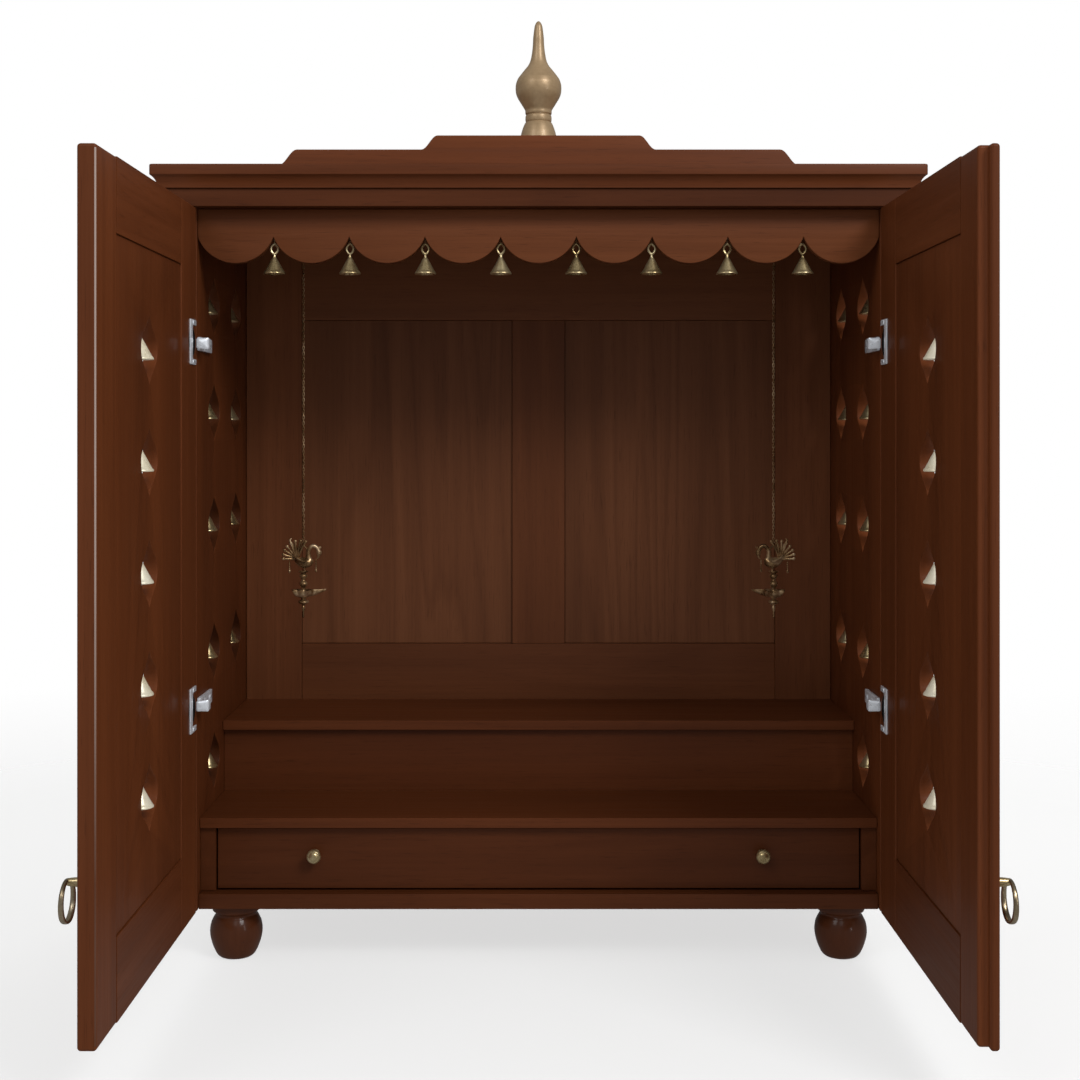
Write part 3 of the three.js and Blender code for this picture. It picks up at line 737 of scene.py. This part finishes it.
def make_crest():
    right = []
    for foot, top, foot_half, top_half in CREST_TIERS:
        lean = CREST_LEAN * (foot_half - top_half)
        right += bezier((foot_half, foot), (foot_half - lean, foot), (top_half + lean, top), (top_half, top),
                        CREST_STEPS)
    outline = right + [(-x, z) for x, z in right[::-1]]
    plate("stepped_crest", "crest", "y", [outline], PLATE_EDGE, "cabinet", CREST_WOOD)


CORNICE_OUT = 11.0
COVE_START = 3.0
COVE_STEPS = 16
FILLET_FOOT = 923.1
CORNICE_SHARP = 24.0


def cornice_plan(distance, face_x, face_y, back):
    """The moulding's outer face at one height: left side, front and right side, its corners rounded."""
    radius = 0.8 + 0.2 * distance
    right = []
    for k in range(CORNER_STEPS + 1):
        angle = pi / 2 * k / CORNER_STEPS
        right.append((face_x + distance - radius + radius * sin(angle),
                      face_y - distance + radius - radius * cos(angle)))
    right.append((face_x + distance, back))
    return [(-x, y) for x, y in right[::-1]] + right


def make_cornice():
    """The moulding runs along both sides and the front, and turns the corners."""
    low, high = node_mm("cornice")
    out = CORNICE_OUT
    foot, top = low.z, high.z
    cove = bezier((COVE_START, foot), (COVE_START + 0.4, foot + 7), (6.4, FILLET_FOOT - 2.4),
                  (out - 0.7, FILLET_FOOT), COVE_STEPS)
    profile = [(0, foot)] + cove
    profile += [(out, FILLET_FOOT + 0.7), (out, top - 1.8), (out - 0.25, top - 0.8), (out - 0.8, top - 0.25),
                (out - 1.8, top)]
    rows = [cornice_plan(distance, high.x - out, low.y + out, high.y) for distance, z in profile]
    count = len(rows[0])
    vertices = [at(x, y, z) for row, (distance, z) in zip(rows, profile) for x, y in row]
    along_front, along_sides = [], []
    for i in range(len(profile) - 1):
        for k in range(count - 1):
            a = i * count + k
            side_run = k in (0, count - 2)
            (along_sides if side_run else along_front).append((a, a + 1, a + 1 + count, a + count))
    firsts = [i * count for i in range(len(profile))]
    lasts = [first + count - 1 for first in firsts[::-1]]
    along_front.append(tuple(firsts[-1] + k for k in range(count)))
    along_front.append(tuple(reversed(range(count))))
    along_front.append(tuple(firsts + lasts))
    shapes = [(vertices, along_front), (vertices, along_sides, 1)]
    piece("moulded_cornice", shapes, "cabinet", [WOOD["X"], WOOD["Y"]], ("cornice",), sharp=CORNICE_SHARP,
          merge=1e-7)


# In a turned profile, a point given twice is a sharp corner

FOOT_PROFILE = (
    (0, 0), (0, 0), (17, 0), (17, 0), (20, 1.2), (23.5, 5), (27.6, 14), (30.4, 24), (31, 32), (29.8, 40),
    (27, 46.5), (25.2, 49.5), (25.2, 49.5), (24.6, 51), (24.8, 53), (26.4, 54.2), (28, 55.8), (28.4, 58),
    (28.2, 61), (28, 64.85), (28, 64.85), (0, 64.85),
)
FINIAL_PROFILE = (
    (0, 0), (0, 0), (21.4, 0), (21.4, 0), (20.6, 4), (19.8, 7.4), (18.3, 12.1), (16.9, 15.6), (15.6, 18.1),
    (15.6, 18.1), (14.5, 18.6), (14.5, 19.2), (15.1, 20), (15.4, 22.2), (15.3, 24.8), (15, 26.5),
    (14.1, 27.3), (14.1, 27.9), (15.2, 28.6), (15.5, 30.2), (15.5, 32.2), (15.9, 33.6), (17, 35.5),
    (19.2, 39), (21.4, 42.6), (23.6, 46.1), (25.3, 49.6), (26.4, 53.1), (26.8, 56.9), (26.8, 60.2),
    (26.4, 63.8), (24.9, 68.4), (23.6, 70.7), (20.1, 75.4), (16.4, 80.1), (12.6, 84.8), (10.1, 89.5),
    (8.75, 94.2), (7.9, 98.9), (7.2, 103.8), (6.6, 110.5), (6.3, 117.6), (5.6, 124), (4.9, 129.3),
    (4.4, 132), (3.5, 134.4), (2.1, 136.6), (0, 138),
)


def stand_turned(node, profile, segments, sharp, material):
    """A turned body in place of a CAD node that stands upright on the carcass or under it."""
    middle = middle_mm(node)
    shape = moved(turned(profile, segments), shift_to(at(middle.x, middle.y, node_mm(node)[0].z)))
    piece("turned_" + node, [shape], "cabinet", [material], (node,), sharp)


def make_feet():
    for end in ("front", "back"):
        for side in SIDES:
            stand_turned(f"foot_{end}_{side}", FOOT_PROFILE, 72, 40, FOOT_WOOD)


def make_finial():
    stand_turned("finial", FINIAL_PROFILE, 96, 38, GOLD_PAINT)


# Brass and plated fittings

BELL_HEIGHT = 21.0
BELL_NECK = 2.8
BELL_SEGMENTS = 28
BELL_RING = {"half_width": 4.2, "half_height": 5.9, "wire": 1.4}
BELL_PROFILE = (
    (0, 16.6), (0, 16.6), (2, 16.2), (4.9, 10.4), (8, 4.6), (11, 0.5), (11.8, 0), (11.8, 0),
    (12.6, 0.2), (12.75, 1.1), (12.2, 2.3), (11, 3.8), (9.3, 6.8), (7.8, 9.6), (6.3, 12.4), (4.9, 15),
    (3.7, 17.2), (2.7, 18.9), (2, 20.2), (1.7, 21), (0, 21),
)
NOTCH_BELL = {"drop": 7.1, "below": 0.6}
WALL_BELL = {"drop": 7.2, "below": 1, "x": 409}
DOOR_BELL = {"drop": 4.6, "below": 1, "x": 409.5, "size": 1.1}


def bell_shapes(drop):
    """A bell that hangs from the origin. drop is the length of its hook above the ring."""
    half_width, half_height, wire = BELL_RING.values()
    ring_z = -(drop + half_height)
    foot = ring_z - half_height - BELL_HEIGHT - BELL_NECK
    ring = []
    for k in range(BELL_SEGMENTS):
        angle = 2 * pi * k / BELL_SEGMENTS
        across = half_width * (1.0 - 0.30 * sin(angle) ** 2) * cos(angle)
        ring.append(mm(across, 0, ring_z + half_height * sin(angle)))
    neck = in_profile((0, foot + BELL_HEIGHT - 0.8), (0, ring_z - half_height + 0.4))
    hook = in_profile((0, ring_z + half_height - 0.6), (0, -0.4))
    rod = in_profile((0, foot + 16.4), (0, foot + 2.5))
    return [
        moved(turned(BELL_PROFILE, BELL_SEGMENTS, 3), shift_to(mm(0, 0, foot))),
        swept(ring, [wire], 8, closed=True),
        swept(neck, [1.7, 1.1], 8, 1),
        (*swept(hook, [0.55, 0.5], 6, 1), 1),
        (*swept(rod, [0.5], 6, 1), 1),
        ball(mm(0, 0, foot + 1.6), (2.1, 2.1, 2.4), 8, 12),
    ]


def bell_turn(number):
    """No two neighbouring bells hang turned the same way."""
    return 0.2 * sin(2.4 * number + 0.6)


def hang_bell(name, hook, turn, drop, body, stands_for=(), size=1.0, brass=BRASS):
    place = shift_to(hook) @ Matrix.Rotation(turn, 4, "Z") @ Matrix.Scale(size, 4)
    piece(name, all_moved(bell_shapes(drop), place), body, [brass, AGED_BRASS], stands_for, 40)


def make_bells():
    for i in range(1, SCALLOPS):
        node = f"valance_bell_{i}"
        hook = at(SCALLOP_PITCH * i - INNER_HALF, middle_mm(node).y, VALANCE_NOTCH - NOTCH_BELL["below"])
        hang_bell(f"notch_bell_{i}", hook, bell_turn(i), NOTCH_BELL["drop"], "cabinet", (node,))
    count = 0
    for side, sign in SIDES.items():
        for column, y in enumerate(WALL_CUTOUT_Y):
            for row, z in enumerate(WALL_CUTOUT_Z):
                count += 1
                hook = at(sign * WALL_BELL["x"], y, z + CUTOUT_HALF_HEIGHT - WALL_BELL["below"])
                turn = pi / 2 + bell_turn(count)
                hang_bell(f"wall_bell_{side}_{column}_{row}", hook, turn, WALL_BELL["drop"], "cabinet")
        for row, z in enumerate(DOOR_CUTOUT_Z):
            hook = at(sign * DOOR_BELL["x"], DOOR_CUTOUT_Y, z + CUTOUT_HALF_HEIGHT - DOOR_BELL["below"])
            turn = pi / 2 + bell_turn(row)
            hang_bell(f"door_bell_{side}_{row}", hook, turn, DOOR_BELL["drop"], side + "_door",
                      size=DOOR_BELL["size"], brass=SHEEN_PAINTED_BRASS)


KNOB_PROFILE = (
    (0, 0), (0, 0), (5.8, 0), (5.8, 0), (5.8, 0.9), (5, 1.7), (3.5, 3), (3.1, 5), (3.8, 6.4), (3.8, 6.4),
    (5.4, 7.6), (7.8, 9.8), (8.5, 12.2), (8.1, 14.4), (6.6, 16), (6.6, 16), (5.4, 16.2), (3.4, 17.4),
    (0, 18),
)
STUD_PROFILE = (
    (0, 0), (0, 0), (8.6, 0), (8.6, 0), (8.6, 0.9), (7.6, 1.8), (6, 2.4), (5.2, 4), (4.8, 7), (4.4, 12),
    (4, 17), (3.4, 20.4), (2.6, 22.2), (1.4, 22.9), (0, 23),
)
STUD_LOWER = 1.2
RING_RADIUS = 19.6
RING_SEGMENTS = 64
RING_BAND = {"radial": 1.15, "width": 2.7}


def turned_fitting(name, node, profile, foot, turn, body):
    shape = moved(turned(profile, 40), shift_to(foot) @ turn)
    piece(name, [shape], body, [BRASS], (node,), 40)


def make_pulls():
    for side, sign in SIDES.items():
        node = "drawer_knob_" + side
        middle = middle_mm(node)
        foot = at(middle.x, node_mm(node)[1].y, middle.z)
        outward = Matrix.Rotation(pi / 2, 4, "X")
        turned_fitting("turned_knob_" + side, node, KNOB_PROFILE, foot, outward, "drawer")

        node = "pull_stud_" + side
        middle = middle_mm(node)
        foot = at(node_mm(node)[sign < 0].x, middle.y, middle.z - STUD_LOWER)
        outward = Matrix.Rotation(sign * pi / 2, 4, "Y")
        turned_fitting("turned_stud_" + side, node, STUD_PROFILE, foot, outward, side + "_door")

        node = "pull_ring_" + side
        ring = loop_points(RING_RADIUS, RING_RADIUS, at(*middle_mm(node)), RING_SEGMENTS, "yz")
        turns = [2 * pi * k / RING_SEGMENTS for k in range(RING_SEGMENTS + 1)]
        swell = [RING_BAND["radial"] * (1.0 - 0.2 * sin(turn)) for turn in turns]
        flat = RING_BAND["width"] / RING_BAND["radial"]
        shape = swept(ring, swell, 14, closed=True, flat=flat, up=Vector((1, 0, 0)))
        piece("round_ring_" + side, [shape], side + "_ring", [DARK_BRASS], (node,), 60)


def screw_shapes(radius, place):
    """A countersunk cross-head screw, drawn facing +z and put in its place."""
    profile = ((0, -0.4), (0, -0.4), (radius, -0.4), (radius, -0.4), (radius, 0.2), (radius * 0.82, 0.75),
               (radius * 0.4, 1), (0, 1.05))
    shapes = [turned(profile, 24, 3)]
    # The cross in the head is two raised bars in painted shade, for the shade in its slots.
    for turn in (0.4, 0.4 + pi / 2):
        bar = block(around(0, radius * 0.62), around(0, 0.42), (0.7, 1.12))
        shapes.append((*moved(bar, Matrix.Rotation(turn, 4, "Z")), 1))
    return all_moved(shapes, place)


CUP_PROFILE = (
    (0, -12.1), (0, -12.1), (15, -12.1), (16.9, -10.4), (17.1, -8), (17.1, 0), (17.1, 0), (15.8, 0),
    (15.8, 0), (15.6, -9.6), (14, -10.8), (0, -10.9),
)
CUP_PLATE = {"y": DOOR_SWUNG_Y + 398.2, "half_width": 15.5, "half_height": 26, "thick": 1.4}
CUP_MOUTH = {"from_edge": 12.6, "half_height": 19.6}
CUP_SCREW = {"radius": 2.4, "from_middle": 22.6}
CUP_FACING = Matrix(((0, 0, 1, 0), (-1, 0, 0, 0), (0, 1, 0, 0), (0, 0, 0, 1)))


def cup_shapes(shift):
    """A hinge cup facing +z, with its height along y: pot, flange with an open mouth, two screws and links.
    shift is how far the flange's middle lies from the pot's."""
    half_height, thick = CUP_PLATE["half_height"], CUP_PLATE["thick"]
    back, front = around(shift, CUP_PLATE["half_width"])
    mouth, mouth_end = CUP_MOUTH["half_height"], front - CUP_MOUTH["from_edge"]
    outline = softened([
        (front, -half_height, 2), (front, half_height, 2), (back, half_height, 2), (back, mouth, 1),
        (mouth_end, mouth, 2), (mouth_end, -mouth, 2), (back, -mouth, 1), (back, -half_height, 2),
    ])
    flange = moved(plate_shape(outline, thick, 0.35), shift_to(mm(0, 0, thick / 2)))
    # The pot and the links below are in painted shade, near-black, for the shade inside the cup.
    shapes = [(*turned(CUP_PROFILE, 40, 3), 1), flange]
    for end in (-1, 1):
        lift = shift_to(mm(shift, end * CUP_SCREW["from_middle"], thick + 0.1))
        shapes += screw_shapes(CUP_SCREW["radius"], lift)
    for offset in (-4.6, 0, 4.6):
        link = [mm(2, offset, -7), mm(-5, offset, -4), mm(-11, offset, -1.4)]
        shapes.append((*swept(link, [1.7, 1.5, 1.2], 8, 4), 1))
    return shapes


ARM = {"near": -385, "far": -398.6, "tip": -12, "turn": 4.6}
ARM_STATIONS = ((0, 0.10), (0.7, 0.55), (1.3, 0.86), (2.2, 1), (9, 1), (15, 1))
ARM_SEAT = {"thick": 3.6, "half_height": 8, "front": 0, "back": 68.0}
ARM_SCREWS = ((28, 3.6), (56, 3.2))


def arm_half_height(x, y):
    """The arm narrows to a waist a little behind its tip, and its edges are hollow."""
    across = (x - ARM["far"]) / (ARM["near"] - ARM["far"])
    hollow = 0.9 * sin(pi * min(max(across, 0), 1))
    flare = 6.2 + 1.0 * across - hollow
    return flare * (1.0 - 0.18 * exp(-((y - 10) / 9) ** 2))


def arm_shapes(z):
    """A hinge arm on the left wall: its tip, its seat flat on the wall, and two screws in the seat."""
    near, far = ARM["near"], ARM["far"]
    ring = rectangle(-1, 1, -1, 1, 0.28)
    vertices = []
    for depth, size in ARM_STATIONS:
        for a, b in ring:
            x = (near + far) / 2 + a * size * (near - far) / 2
            slant = ARM["turn"] * (x - far) / (near - far) * max(0, 1 - depth / 24)
            y = ARM["tip"] + depth + slant
            vertices.append(at(x, y, z + b * size * arm_half_height(x, y)))
    tip = (vertices, ring_faces(len(ARM_STATIONS), len(ring)))
    wall = -INNER_HALF + FIT
    thick = ARM_SEAT["thick"]
    seat = rectangle(ARM_SEAT["front"], ARM_SEAT["back"], *around(z, ARM_SEAT["half_height"]), 2)
    on_wall = shift_to(at(wall + thick / 2 + 0.1, 0, 0)) @ UPRIGHT["x"]
    shapes = [tip, moved(plate_shape(seat, thick, 0.5), on_wall)]
    toward_middle = Matrix.Rotation(pi / 2, 4, "Y")
    for y, radius in ARM_SCREWS:
        shapes += screw_shapes(radius, shift_to(at(wall + thick, y, z)) @ toward_middle)
    return shapes


def make_hinges():
    """All are drawn on the left, and the right ones are mirrored."""
    inner_face = -node_mm("door_hinge_stile_right")[0].x
    for side, sign in SIDES.items():
        mirror = Matrix.Diagonal((-sign, 1, 1, 1))
        for level in ("lower", "upper"):
            cup = f"hinge_cup_{level}_{side}"
            arm = f"hinge_arm_{level}_{side}"
            middle = middle_mm(cup)
            seat = shift_to(at(inner_face, middle.y, middle.z)) @ CUP_FACING
            cups = all_moved(cup_shapes(middle.y - CUP_PLATE["y"]), mirror @ seat)
            arms = all_moved(arm_shapes(middle.z), mirror)
            piece("plated_" + cup, cups, side + "_door", [CHROME, HOLLOW_SHADE_PAINT], (cup,))
            piece("plated_" + arm, arms, "cabinet", [CHROME, HOLLOW_SHADE_PAINT], (arm,))


# The hanging lamps. They are drawn about their own axis, with x towards the middle of the cabinet

LAMP_X = 294.5
LAMP_Y = 130
LAMP_RIM = 428.5
LAMP_EYE = 57.0
LAMP_TURN = 12
CHAIN_LINK = {"length": 5.6, "half_width": 1.25, "wire": 0.42, "lap": 2.0}
STEM_PROFILE = (
    (0, -35), (0, -35), (0.8, -34), (1.3, -31), (1, -28), (1.9, -25), (2.4, -22), (1.7, -19.6),
    (2.2, -18.4), (4.6, -17), (6.3, -15.6), (6.5, -14.2), (5.4, -12.9), (3.4, -12), (2.8, -10.8),
    (3.4, -9.6), (5.4, -8.6), (0, -8.4),
)
PILLAR_PROFILE = (
    (0, -6), (5.2, -5.6), (5.2, -4.4), (3.4, -2.4), (2.2, 0.4), (2.4, 3), (3.6, 4.6), (4.9, 6.6), (5.1, 8.6),
    (3.9, 10.6), (2.6, 11.8), (2.3, 13.2), (3.2, 14.6), (4.7, 16.6), (4.9, 18.6), (3.6, 20.4), (3.2, 21.4),
    (5.8, 22.4), (6.2, 23.4), (5.6, 24.2), (0, 24.6),
)
HOOK_PROFILE = ((0, -7), (0, -7), (1.2, -6.6), (1.4, -4), (5.2, -2.6), (6, -1), (6, 0), (6, 0), (0, 0))

DISH = {"radius": 12.4, "spouts": 5, "long_spout": 15.4, "short_spout": 4.6, "segments": 120}
# Its sheet, from below around the rim to above: the part of the radius, the height, and the spouts' share
DISH_SHEET = (
    (0.40, -8.6, 0), (0.72, -7.8, 0.15), (0.92, -5.6, 0.45), (1, -2.6, 0.8), (1.02, -0.4, 1),
    (0.99, 0.3, 1), (0.93, -0.4, 0.98), (0.88, -2.8, 0.74), (0.78, -5, 0.38), (0.55, -6.4, 0.1),
    (0.20, -6.8, 0),
)


def dish_reach(angle, level):
    """The dish's radius towards an angle. Its lobes end in spouts, and the one to the middle is long."""
    turn = (angle * DISH["spouts"] / (2 * pi)) % 1.0
    off = min(turn, 1.0 - turn) * 2
    lobe = max(0, 1.0 - off / 0.46)
    spout = DISH["long_spout"] if cos(angle) > 0.9 else DISH["short_spout"]
    return DISH["radius"] + spout * level * lobe**1.35


def dish_shape():
    vertices = []
    for radius_part, height, level in DISH_SHEET:
        for k in range(DISH["segments"]):
            angle = 2 * pi * k / DISH["segments"]
            radius = dish_reach(angle, level) * radius_part
            lift = 0.3 * level * max(0, (radius - 14) / 13)
            vertices.append(mm(radius * cos(angle), radius * sin(angle), height + lift))
    return vertices, ring_faces(len(DISH_SHEET), DISH["segments"])


def flank_shapes(side):
    """An eye, a folded wing and a leg on one side of the bird."""
    shapes = [ball(mm(20.2, side * 2.5, 47.4), (0.8, 0.8, 0.8), 6, 8)]
    for row in range(5):
        root = mm(5.2 - 2.4 * row, side * (5.4 - 0.25 * row), 38.4 - 0.5 * row)
        bend = mm(-0.6 - 2.2 * row, side * (6.9 - 0.4 * row), 36.2 + 1.2 * row)
        tip = mm(-7.4 - 1.5 * row, side * (4.6 - 0.5 * row), 37.2 + 2.3 * row)
        shapes.append(swept([root, bend, tip], [0.9, 1.6, 0.4], 8, 5, flat=1.3))
    leg = [mm(1.6, side * 2.2, 30.5), mm(1.2, side * 2.1, 27), mm(1.6, side * 2.4, 24)]
    shapes.append(swept(leg, [1.5, 0.9, 1.3], 8, 3))
    return shapes


TAIL_FEATHERS = 8
TAIL_ROOT = mm(-7, 0, 38.6)


def tail_shapes():
    """A raised fan of feathers in two layers, with a tall plume at its back."""
    shapes = []
    for k in range(TAIL_FEATHERS):
        spread = k / (TAIL_FEATHERS - 1)
        angle = radians(64 + 112 * spread)
        length = 24.5 - 6.5 * spread
        bow = 0.5 * (1 - spread)
        across, up = length * cos(angle), length * sin(angle)
        for depth in (-1.5, 1.5):
            mid = TAIL_ROOT + mm(0.55 * length * cos(angle + bow * 0.3), depth * 1.3, 0.55 * up)
            tip = TAIL_ROOT + mm(across - 2 * bow, depth * 1.9, up)
            shapes.append(swept([TAIL_ROOT, mid, tip], [0.9, 1.5, 0.9], 8, 5, flat=0.6))
            shapes.append(ball(tip, (1.9, 0.9, 1.9), 8, 10))
    plume = in_profile((-11, 50), (-13.6, 56.5), (-16.8, 62), (-14.6, 65))
    shapes.append(swept(plume, [1.2, 1.9, 1.4, 0.4], 8, 5, flat=0.7))
    return shapes


PENDANT_BEADS = 5


def pendant_shapes():
    """Two strings of beads, each with a larger one at its foot."""
    shapes = []
    for x, top, drop in ((-17.2, 36, 13.5), (15.6, 37.6, 15)):
        for k in range(PENDANT_BEADS):
            size = 1.55 if k == PENDANT_BEADS - 1 else 1.0
            centre = mm(x, 0, top - drop * (k + 0.5) / PENDANT_BEADS)
            shapes.append(ball(centre, (size, size, size * 1.5), 6, 8))
        shapes.append(swept(in_profile((x, top + 1), (x, top - drop)), [0.35], 5, 1))
    return shapes


def bird_shapes():
    """A peacock: body, a neck that bows forward, crown, folded wings, tail, beads and a bail to hang by."""
    back = in_profile((-10, 39), (-5, 36.4), (1, 34.2), (6.4, 35.6), (8.4, 39.6))
    neck = in_profile((6.6, 38), (6, 44), (6.4, 49.5), (10.6, 55), (15.8, 53.6), (19, 48))
    beak = in_profile((19.6, 44.4), (18.4, 40.8), (16, 38))
    bail = in_profile((6.2, 47), (3.4, 53), (0, 55.2), (-4.6, 52.4), (-8.6, 45))
    shapes = [
        swept(back, [2.6, 5.6, 7, 6.2, 4.2], 18, 6, flat=0.86),
        swept(neck, [4.2, 3.2, 2.5, 2.3, 2.5, 3], 14, 6),
        ball(mm(19.2, 0, 46.4), (3.5, 3, 3.7), 10, 16),
        swept(beak, [1.9, 1.1, 0.3], 8, 4),
        swept(bail, [1.1, 1, 1.2, 1, 1.1], 8, 5),
    ]
    for lean in (-0.5, 0, 0.5):
        tip = mm(20.6 + 2.2 * lean, 1.5 * lean, 53.8 - abs(lean))
        shapes.append(swept([mm(19, 0, 49.2), mm(19.8 + lean, lean, 51.6), tip], [0.5, 0.4, 0.4], 6, 2))
        shapes.append(ball(tip, (0.9, 0.9, 0.9), 6, 8))
    return shapes + flank_shapes(-1) + flank_shapes(1) + tail_shapes() + pendant_shapes()


def chain_shapes(foot, head):
    """Oval links, each turned a quarter from the one below."""
    length, half_width, wire, lap = CHAIN_LINK.values()
    count = int((head - foot) / (length - lap))
    pitch = (head - foot) / count
    shapes = []
    for k in range(count):
        plane, up = ("xz", Vector((0, 1, 0))) if k % 2 else ("yz", Vector((1, 0, 0)))
        link = loop_points(half_width, length / 2, mm(0, 0, foot + pitch * (k + 0.5)), 12, plane)
        shapes.append(swept(link, [wire], 5, closed=True, up=up))
    return shapes


def make_lamps():
    for side, sign in SIDES.items():
        node = "hanging_lamp_" + side
        top = node_mm(node)[1].z
        eye = loop_points(2.4, 2.6, mm(-0.6, 0, LAMP_EYE), 20, "xz")
        lamp = [dish_shape(), turned(STEM_PROFILE, 28, 4), turned(PILLAR_PROFILE, 28, 4), *bird_shapes(),
                swept(eye, [0.7], 8, closed=True)]
        inward = Matrix.Diagonal((-sign, 1, 1, 1)) @ Matrix.Rotation(radians(LAMP_TURN), 4, "Z")
        on_axis = [shift_to(at(sign * LAMP_X, LAMP_Y, z)) for z in (LAMP_RIM, top, 0)]
        shapes = all_moved(lamp, on_axis[0] @ inward)
        shapes.append(moved(turned(HOOK_PROFILE, 24, 3), on_axis[1]))
        shapes += all_moved(chain_shapes(LAMP_RIM + LAMP_EYE + 1.6, top - 5.4), on_axis[2])
        piece("peacock_lamp_" + side, shapes, "cabinet", [AGED_BRASS], (node,), 50)


# The picture: floor, light and camera

PHOTO_SIZE = 1080
FOCAL_PX = 1590
HORIZON_PX = 432
MIDDLE_PX = 538.5
CAMERA_DISTANCE = 1862
CAMERA_HEIGHT = 626.5
SENSOR = 36.0


def make_camera():
    data = bpy.data.cameras.new("camera")
    data.sensor_width = SENSOR
    data.lens = SENSOR * FOCAL_PX / PHOTO_SIZE
    data.shift_x = (PHOTO_SIZE / 2 - MIDDLE_PX) / PHOTO_SIZE
    data.shift_y = (HORIZON_PX - PHOTO_SIZE / 2) / PHOTO_SIZE
    camera = add_object("camera", data)
    camera.location = at(0, -CAMERA_DISTANCE, CAMERA_HEIGHT)
    camera.rotation_euler = (radians(90), 0, 0)
    bpy.context.scene.camera = camera


FLOOR_HALF = 3.0
FLOOR_FADE = (1.25, 2.4)
FLOOR_COVER = 0.34


def make_floor():
    """A pale floor that fades away at a distance, so that no horizon shows."""
    g = Graph("pale_floor")
    place = g.place()
    cloud = g.noise(place, 1.4, 3, 0.5)
    away = g.add("VectorMath", {0: place}, operation="LENGTH").outputs["Value"]
    seen = g.add("LightPath", {}).outputs["Is Camera Ray"]
    pale = g.ramp(cloud, ((0.3, (0.93, 0.93, 0.93)), (0.7, (0.95, 0.95, 0.95))))
    g.to_shader(
        Base_Color=g.mix(seen, (0.42, 0.41, 0.40), pale),
        Roughness=0.8,
        Specular_IOR_Level=0.1,
        Alpha=g.range(away, *FLOOR_FADE, FLOOR_COVER, 0),
    )
    half = FLOOR_HALF
    mesh = bpy.data.meshes.new("floor")
    corners = [(-half, -half, 0), (half, -half, 0), (half, half, 0), (-half, half, 0)]
    mesh.from_pydata(corners, [], [(0, 1, 2, 3)])
    mesh.materials.append(g.material)
    floor = add_object("floor", mesh)


WORLD_LIGHT = 0.60
WORLD_GLOSS = 0.20
# Name, place and target in metres, size, watts. A size of two numbers is a rectangle's
LIGHTS = (
    ("key", (1.6, -2.2, 2.6), (0, 0, 0.6), 1.2, 45),
    ("fill", (-1.6, -2.2, 2.6), (0, 0, 0.6), 1.2, 14),
    ("front", (0, -3, 2.6), (0, 0, 0.6), 1.2, 4),
    ("strip", (2, -2, 0.95), (-0.3, -0.3, 0.75), (0.14, 1.5), 4),
    ("rear", (0.6, 2.6, 2.4), (0, 0.3, 0.6), 1.8, 25),
)


def soft_light(name, place, target, size, power):
    data = bpy.data.lights.new(name, "AREA")
    if isinstance(size, tuple):
        data.shape = "RECTANGLE"
        data.size, data.size_y = size
    else:
        data.shape = "DISK"
        data.size = size
    data.energy = power
    lamp = add_object(name, data)
    lamp.location = place
    lamp.rotation_euler = (Vector(target) - Vector(place)).to_track_quat("-Z", "Y").to_euler()
    lamp.visible_glossy = name != "rear"


def make_light():
    """Lamps in a white room, which is dimmer as a light than to the camera, and dimmer still in gloss."""
    world = bpy.data.worlds.new("studio")
    bpy.context.scene.world = world
    world.use_nodes = True
    tree = world.node_tree
    background = tree.nodes["Background"]
    background.inputs["Color"].default_value = (1, 1, 1, 1)
    path = tree.nodes.new("ShaderNodeLightPath")
    gloss, seen = (tree.nodes.new("ShaderNodeMapRange") for step in range(2))
    for strength, ray, level in ((gloss, "Is Glossy Ray", WORLD_GLOSS), (seen, "Is Camera Ray", 1)):
        strength.inputs["To Min"].default_value = WORLD_LIGHT
        strength.inputs["To Max"].default_value = level
        tree.links.new(path.outputs[ray], strength.inputs["Value"])
    tree.links.new(gloss.outputs["Result"], seen.inputs["To Min"])
    tree.links.new(seen.outputs["Result"], background.inputs["Strength"])
    for light in LIGHTS:
        soft_light(*light)
    bpy.context.scene.view_settings.view_transform = "Standard"


make_camera()
make_floor()
make_light()
make_boards()
make_tongues()
make_meeting_stiles()
make_walls()
make_door_panels()
make_valance()
make_crest()
make_cornice()
make_feet()
make_finial()
make_bells()
make_pulls()
make_hinges()
make_lamps()
